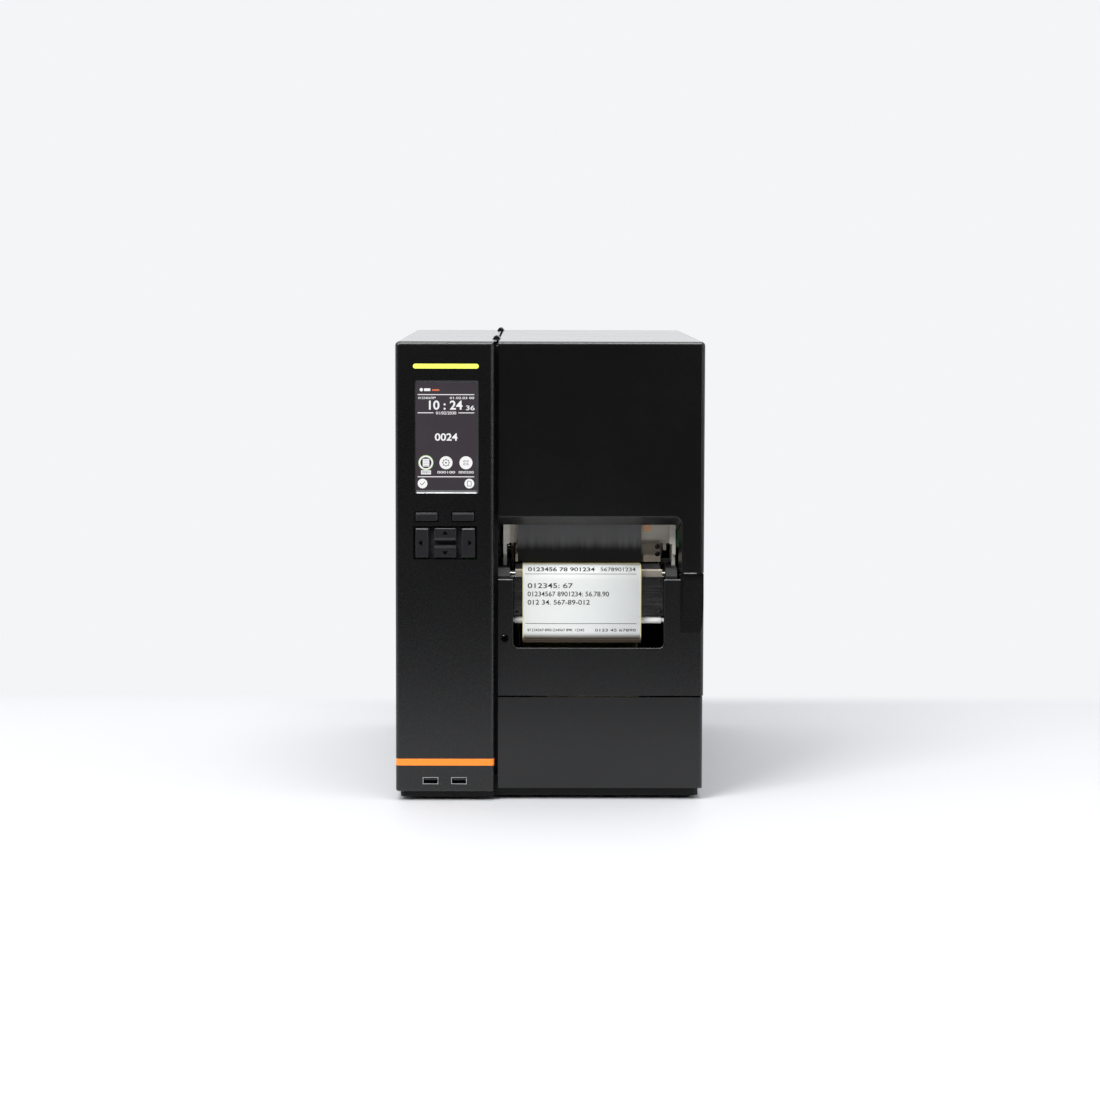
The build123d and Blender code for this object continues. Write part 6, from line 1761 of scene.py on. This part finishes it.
@dataclass
class LabelStock(Assembly):
    """The labels on the web: the printed one that hangs in the window, and the next one under it."""

    left: float = -23.6
    right: float = 80.9
    hang_y: float = -243.4
    top_middle: Spot = (-230.1, 198.3)
    top_radius: float = 13.3
    low_middle: Spot = (-234.1, 150.3)
    low_radius: float = 9.3
    low_turn: float = 150.0
    top_steps: int = 16
    low_steps: int = 24
    sheet: float = 0.12
    start_y: float = -227.0
    label_low_z: float = 145.6
    gap: float = 3.0
    corner: float = 0.9
    front_lift: float = 0.08
    next_lift: float = 0.05
    front_marks: tuple[Mark, ...] = (
        Numerals(3.9, 63.8, 5.2, 1.9, 12, "0123456 78 901234", 0.021),
        Numerals(68.9, 100.4, 5.1, 2.0, 12, "5678901234", 0.006),
        Mark(1.4, 101.2, 7.6, 7.2, 3),
        Numerals(3.6, 44.1, 20.1, 15.6, 4, "012345: 67", 0.008),
        Numerals(3.6, 76.5, 27.5, 23.1, 1, "01234567 8901234: 56.78.90", 0.008),
        Numerals(3.6, 59.3, 35.0, 30.6, 1, "012 34. 567-89-012", 0.008),
        Mark(1.6, 101.4, 52.2, 51.8),
        Numerals(3.6, 54.4, 59.0, 56.6, 1, "01234567 8901234567 890. 12345", 0.008),
        Numerals(64.0, 100.6, 59.1, 56.6, 1, "0123 45 67890", 0.008),
    )
    next_marks: tuple[Mark, ...] = (
        Numerals(3.9, 63.8, -0.25, -1.1, 1, "0123456 78 901234", 0.022),
        Numerals(68.9, 100.4, -0.3, -1.0, 1, "5678901234", 0.0),
    )

    def surface_y(self, height: float, lift: float) -> float:
        """Gives where the web's outer face stands at a height, as seen from the front.

        Args:
            height: The height in millimetres.
            lift: How far outside the face.

        Returns:
            The place along Y.
        """
        if height > self.top_middle[1]:
            reach = self.top_radius + lift
            return self.top_middle[0] - math.sqrt(max(0.0, reach ** 2 - (height - self.top_middle[1]) ** 2))
        if height < self.low_middle[1]:
            reach = self.low_radius + lift
            return self.low_middle[0] - math.sqrt(max(0.0, reach ** 2 - (self.low_middle[1] - height) ** 2))
        return self.hang_y - lift

    def on_web(self, lift: float) -> Placement:
        """Gives the placement of print on the hanging web."""
        return lambda across, up: Vector((across, self.surface_y(up, lift), up)) * MM

    def route(self, lift: float) -> list[Spot]:
        """Gives points down the web's outer face, from behind the tear bar to under the lower bend.

        Args:
            lift: How far outside the face.

        Returns:
            Each point's place along Y and its height.
        """
        top_y, top_z = self.top_middle
        low_y, low_z = self.low_middle
        spots = [(self.start_y, top_z + self.top_radius + lift)]
        for step in range(self.top_steps + 1):
            turn = math.pi / 2 + math.pi / 2 * step / self.top_steps
            reach = self.top_radius + lift
            spots.append((top_y + reach * math.cos(turn), top_z + reach * math.sin(turn)))
        for step in range(self.low_steps + 1):
            turn = math.pi + math.radians(self.low_turn) * step / self.low_steps
            reach = self.low_radius + lift
            spots.append((low_y + reach * math.cos(turn), low_z + reach * math.sin(turn)))
        return spots

    def lay(self, name: str, spots: Sequence[Spot]) -> None:
        """Makes a thin sheet that follows the web, with its corners cut.

        Args:
            name: The piece's name.
            spots: Its run, along Y and up.
        """
        mesh = bmesh.new()
        rows = []
        for place, (y, z) in enumerate(spots):
            inset = self.corner if place in (0, len(spots) - 1) else 0.0
            edges = (self.left + inset, self.right - inset)
            rows.append([mesh.verts.new(Vector((x, y, z)) * MM) for x in edges])
        for upper, lower in zip(rows, rows[1:]):
            mesh.faces.new([upper[0], lower[0], lower[1], upper[1]])
        piece = self.keep(name, mesh, Paint.LABEL, "frame", "label_paper", smooth=True)
        modifier = piece.modifiers.new("thickness", "SOLIDIFY")
        modifier.thickness = self.sheet * MM
        modifier.offset = -1.0

    def build(self) -> None:
        """Lays the two labels and prints them."""
        route = self.route(self.sheet)
        length = [0.0]
        for (y_a, z_a), (y_b, z_b) in zip(route, route[1:]):
            length.append(length[-1] + math.hypot(y_b - y_a, z_b - z_a))
        last = next(place for place, (_, z) in enumerate(route) if z < self.label_low_z)
        self.lay("label_front", route[:last + 1])
        start = next(place for place in range(last, len(route)) if length[place] > length[last] + self.gap)
        self.lay("label_next", route[start:])
        self.print_front()
        self.print_next()

    def print_front(self) -> None:
        """Prints the hanging label: a bold head, rules, three lines and a foot, all in plain numerals."""
        page = Drawing(self.on_web(self.sheet + self.front_lift))
        page.marks(self.front_marks, self.left, self.top_middle[1] + self.top_radius)
        self.keep("label_front_print", page.mesh, Paint.INK, "frame")

    def print_next(self) -> None:
        """Prints the head of the next label, which shows under the lower bend."""
        page = Drawing(self.on_web(self.sheet + self.next_lift))
        page.marks(self.next_marks, self.left, self.low_middle[1] - self.low_radius)
        self.keep("label_next_print", page.mesh, Paint.INK, "frame")


@dataclass
class PrintMechanism(Assembly):
    """What shows in the print opening: screws, springs and the patch on the head carrier."""

    head_screw_radius: float = 2.3
    head_screw_y: float = -210.5
    head_screw_places: tuple[Spot, ...] = ((97.3, 226.2), (97.4, 219.6), (-28.0, 223.0))
    plate_screw_radius: float = 1.3
    plate_screw_xs: Span = (-29.6, 99.2)
    plate_screw_zs: Span = (169.2, 198.0)
    patch_box: tuple[Span, Span, Span] = ((84.2, 91.4), (-207.25, -207.0), (239.6, 245.6))
    patch_bevel: float = 0.1
    spring_inset: float = 22.0
    spring_y: float = -186.0
    spring_top: float = 244.0
    spring_foot: float = 231.0
    spring_radius: float = 2.6
    spring_turns: int = 6
    spring_gauge: float = 0.4

    def build(self) -> None:
        """Adds the mechanism's small parts."""
        places = [(x, self.head_screw_y, z) for x, z in self.head_screw_places]
        self.screws("head_screws", places, (0, -1, 0), self.head_screw_radius, Paint.SCREW, "head")
        plate_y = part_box("guide_plate")[0].y / MM
        corners = [(x, plate_y, z) for x in self.plate_screw_xs for z in self.plate_screw_zs]
        self.screws("guide_plate_screws", corners, (0, -1, 0), self.plate_screw_radius, Paint.SCREW, "frame")
        self.patch()
        self.head_springs()

    def patch(self) -> None:
        """Sticks the small tan patch on the carrier's front plate."""
        mesh = bmesh.new()
        box(mesh, *self.patch_box, self.patch_bevel)
        self.keep("carrier_patch", mesh, Paint.PATCH, "head")

    def head_springs(self) -> None:
        """Adds the two springs that press the head down from the carrier."""
        low, high = (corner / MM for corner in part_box("head_carrier"))
        for side, x in (("left", low.x + self.spring_inset), ("right", high.x - self.spring_inset)):
            top, foot = ((x, self.spring_y, z) for z in (self.spring_top, self.spring_foot))
            self.spring(f"head_spring_{side}", top, foot, self.spring_radius, self.spring_turns,
                        self.spring_gauge, "head")


@dataclass
class RearSide(Assembly):
    """The rear panel's small parts: contacts, the sockets' inserts and the marks on the switch."""

    contact_count: int = 8
    contact_start: float = -69.1
    contact_pitch: float = 1.0
    contact_width: float = 0.4
    contact_ys: Span = (238.0, 248.6)
    contact_zs: Span = (335.4, 336.1)
    contact_bevel: float = 0.05
    tongue_box: tuple[Span, Span, Span] = ((-66.4, -60.8), (238.0, 248.9), (303.6, 306.8))
    tongue_bevel: float = 0.3
    serial_middle: Spot = (-63.85, 262.0)
    insert_ys: Span = (249.4, 250.0)
    insert_outline: tuple[Spot, ...] = (
        (-3.4, -8.6), (3.0, -7.4), (3.4, -6.6), (3.4, 6.6), (3.0, 7.4), (-3.4, 8.6))
    pin_rows: tuple[tuple[float, int], ...] = ((-1.4, 5), (1.4, 4))
    pin_pitch: float = 2.7
    pin_half: float = 0.45
    pin_ys: Span = (249.9, 250.1)
    pin_bevel: float = 0.1
    serial_screw_y: float = 249.5
    serial_screw_offset: float = 12.4
    serial_screw_radius: float = 1.5
    mark_lift: float = 0.05
    line_half: float = 0.4
    line_drops: Span = (5.2, 2.2)
    ring_rise: float = 3.8
    ring_radii: Span = (1.7, 1.2)
    ring_sides: int = 24

    def build(self) -> None:
        """Adds the rear side's small parts."""
        self.rocker_marks()
        self.contacts()
        self.serial_port()

    def contacts(self) -> None:
        """Adds the network socket's contacts and the tongue of the data socket under it."""
        gold = bmesh.new()
        for place in range(self.contact_count):
            start = self.contact_start + place * self.contact_pitch
            box(gold, (start, start + self.contact_width), self.contact_ys, self.contact_zs,
                self.contact_bevel)
        self.keep("network_contacts", gold, Paint.GOLD, "frame")
        tongue = bmesh.new()
        box(tongue, *self.tongue_box, self.tongue_bevel)
        self.keep("data_tongue", tongue, Paint.WHITE_PLASTIC, "frame")

    def serial_port(self) -> None:
        """Adds the serial socket's insert, its two rows of contacts and its two screws."""
        across, up = self.serial_middle
        insert = bmesh.new()
        outline = [(across + x, up + z) for x, z in self.insert_outline]
        prism(insert, outline, *(facing_viewer(y) for y in self.insert_ys))
        self.keep("serial_insert", insert, Paint.CHIP, "frame")
        pins = bmesh.new()
        half = self.pin_half
        for row, count in self.pin_rows:
            for place in range(count):
                height = up + (place - (count - 1) / 2) * self.pin_pitch
                box(pins, (across + row - half, across + row + half), self.pin_ys,
                    (height - half, height + half), self.pin_bevel)
        self.keep("serial_pins", pins, Paint.GOLD, "frame")
        places = [(across, self.serial_screw_y, up + offset)
                  for offset in (-self.serial_screw_offset, self.serial_screw_offset)]
        self.screws("serial_screws", places, (0, 1, 0), self.serial_screw_radius, Paint.SCREW_ZINC, "frame")

    def rocker_marks(self) -> None:
        """Prints the line and the ring that stand for on and off."""
        low, high = (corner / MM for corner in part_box("power_rocker"))
        middle = (low.x + high.x) / 2
        drawing = Drawing(lambda across, up: Vector((2 * middle - across, high.y + self.mark_lift, up)) * MM)
        floor, ceiling = (high.z - drop for drop in self.line_drops)
        drawing.bar(middle - self.line_half, middle + self.line_half, floor, ceiling)
        drawing.ring(middle, low.z + self.ring_rise, *self.ring_radii, self.ring_sides)
        self.keep("rocker_marks", drawing.mesh, Paint.WHITE_PLASTIC, "rocker", "black_key")


@dataclass(frozen=True)
class Softbox:
    """One soft light of the studio."""

    name: str
    stand: Place
    aim: Place
    width: float
    height: float
    power: float
    colour: Colour = (1.0, 1.0, 1.0)

    def build(self) -> None:
        """Hangs the light."""
        data = bpy.data.lights.new(self.name, "AREA")
        data.shape = "RECTANGLE"
        data.size = self.width
        data.size_y = self.height
        data.energy = self.power
        data.color = self.colour
        light = add_object(self.name, data)
        light.location = self.stand
        light.rotation_euler = (Vector(self.aim) - Vector(self.stand)).to_track_quat("-Z", "Y").to_euler()


@dataclass(frozen=True)
class Camera:
    """The camera, as it was fitted to the photograph."""

    position: Place = (-0.0144822, -3.13823, 0.481647)
    yaw: float = 0.00499
    pitch: float = 0.08815
    roll: float = 0.00224
    focal_pixels: float = 3247.57
    frame_pixels: float = 1100.0
    sensor: float = 36.0

    def build(self) -> None:
        """Sets the camera up and makes it the scene's own."""
        level = math.cos(self.pitch)
        forward = Vector((level * math.sin(self.yaw), level * math.cos(self.yaw), -math.sin(self.pitch)))
        right = Vector((math.cos(self.yaw), -math.sin(self.yaw), 0.0))
        down = forward.cross(right)
        tilted_right = math.cos(self.roll) * right - math.sin(self.roll) * down
        tilted_down = math.sin(self.roll) * right + math.cos(self.roll) * down
        turn = Matrix((tilted_right, -tilted_down, -forward)).transposed().to_4x4()
        data = bpy.data.cameras.new("studio_camera")
        data.sensor_fit = "HORIZONTAL"
        data.sensor_width = self.sensor
        data.lens = self.focal_pixels * self.sensor / self.frame_pixels
        camera = add_object("studio_camera", data)
        camera.matrix_world = Matrix.Translation(self.position) @ turn
        bpy.context.scene.camera = camera


@dataclass
class Studio:
    """The pale floor, the soft light round the printer and the lamps."""

    backdrop: Colour = swatch(244, 245, 247)
    front_dim: Colour = (0.03, 0.03, 0.032)
    side_share: float = 0.55
    side_span: Span = (-0.80, -0.30)
    rear_span: Span = (0.0, 0.5)
    floor: Colour = (0.76, 0.77, 0.79)
    floor_dim: Colour = (0.02, 0.02, 0.021)
    floor_roughness: float = 0.55
    flag: Span = (-1.15, -0.6)
    table_front: Span = (-1.9, -1.4)
    table_end: Span = (0.38, 0.48)
    floor_reach: float = 30.0
    lights: tuple[Softbox, ...] = (
        Softbox("key_light", (-1.6, -2.6, 2.6), (0.0, -0.2, 0.1), 1.6, 1.6, 90.0),
        Softbox("top_light", (-0.3, 0.5, 2.8), (0.0, 0.0, 0.2), 2.4, 2.0, 8.0),
        Softbox("edge_light_top", (0.1, -1.7, 2.6), (0.0, -0.2, 0.2), 1.8, 0.3, 14.0),
        Softbox("edge_light_over", (0.0, -0.75, 2.5), (0.0, -0.2, 0.2), 1.6, 0.3, 16.0),
        Softbox("front_fill", (1.0, -1.7, 0.4), (0.03, -0.2, 0.22), 0.5, 0.5, 1.8),
        Softbox("edge_light_left", (-2.4, -0.9, 0.9), (0.0, 0.0, 0.2), 0.3, 1.6, 6.0),
        Softbox("edge_light_right", (2.4, -0.9, 0.9), (0.0, 0.0, 0.2), 0.3, 1.6, 8.0),
    )

    def build(self) -> None:
        """Builds the studio."""
        bpy.context.scene.view_settings.view_transform = "Standard"
        self.surroundings()
        self.lay_floor()
        for light in self.lights:
            light.build()

    def surroundings(self) -> None:
        """Sets light all round: bright behind the printer and dim in front of it."""
        world = bpy.data.worlds.new("studio")
        world.use_nodes = True
        bpy.context.scene.world = world
        graph = Graph(world.node_tree)
        way = graph.node("ShaderNodeTexCoord", output="Generated")
        toward_rear = graph.node("ShaderNodeSeparateXYZ", sockets={0: way}, output="Y")
        sides = toward_rear.rising(*self.side_span) * self.side_share
        rear = toward_rear.rising(*self.rear_span) * (1 - self.side_share)
        light = graph.node("ShaderNodeBackground", sockets={
            "Color": graph.mix(sides + rear, self.front_dim, self.backdrop), "Strength": 1.0})
        plain = graph.node("ShaderNodeBackground", sockets={"Color": self.backdrop, "Strength": 1.0})
        seen = graph.node("ShaderNodeLightPath", output="Is Camera Ray")
        mixed = graph.node("ShaderNodeMixShader", sockets={0: seen, 1: light, 2: plain})
        graph.node("ShaderNodeOutputWorld", sockets={"Surface": mixed})

    def lay_floor(self) -> None:
        """Lays the pale floor, which brightens into the backdrop behind the printer."""
        mesh = bmesh.new()
        reach = self.floor_reach
        corners = [(-reach, -reach), (reach, -reach), (reach, reach), (-reach, reach)]
        mesh.faces.new([mesh.verts.new((x, y, 0.0)) for x, y in corners])
        data = bpy.data.meshes.new("studio_floor")
        mesh.to_mesh(data)
        mesh.free()
        floor = add_object("studio_floor", data)
        material = bpy.data.materials.new("studio_floor")
        material.use_nodes = True
        graph = Graph(material.node_tree)
        paper = graph.noise(500.0, 2.0)
        colour = graph.mix(paper, scaled(self.floor, 0.99), self.floor)
        table = graph.node("ShaderNodeBsdfPrincipled", sockets={
            "Base Color": colour, "Roughness": self.floor_roughness})
        beyond = graph.node("ShaderNodeEmission", sockets={"Color": self.backdrop, "Strength": 1.0})
        behind = graph.along("Y").rising(*self.table_end)
        before = 1 - graph.along("Y").rising(*self.table_front)
        lit = graph.node("ShaderNodeMixShader", sockets={0: behind + before, 1: table, 2: beyond})
        unlit = graph.node("ShaderNodeEmission", sockets={"Color": self.floor_dim, "Strength": 1.0})
        reflected = 1 - graph.node("ShaderNodeLightPath", output="Is Camera Ray")
        flagged = (1 - graph.along("Y").rising(*self.flag)) * reflected
        mixed = graph.node("ShaderNodeMixShader", sockets={0: flagged, 1: lit, 2: unlit})
        graph.node("ShaderNodeOutputMaterial", sockets={"Surface": mixed})
        data.materials.append(material)


def main() -> None:
    """Dresses the printer, adds its small parts and builds the studio."""
    logging.basicConfig(level=logging.WARNING, format="%(name)s: %(message)s")
    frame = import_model()
    Camera().build()
    Studio().build()
    cabinet = Cabinet()
    cabinet.dress(frame["nodes"])
    for assembly in (cabinet, ControlPanel(), LabelStock(), PrintMechanism(), RearSide()):
        assembly.build()
        LOG.info("%s: %d pieces", type(assembly).__name__, len(assembly.pieces))


if __name__ == "__main__":
    main()
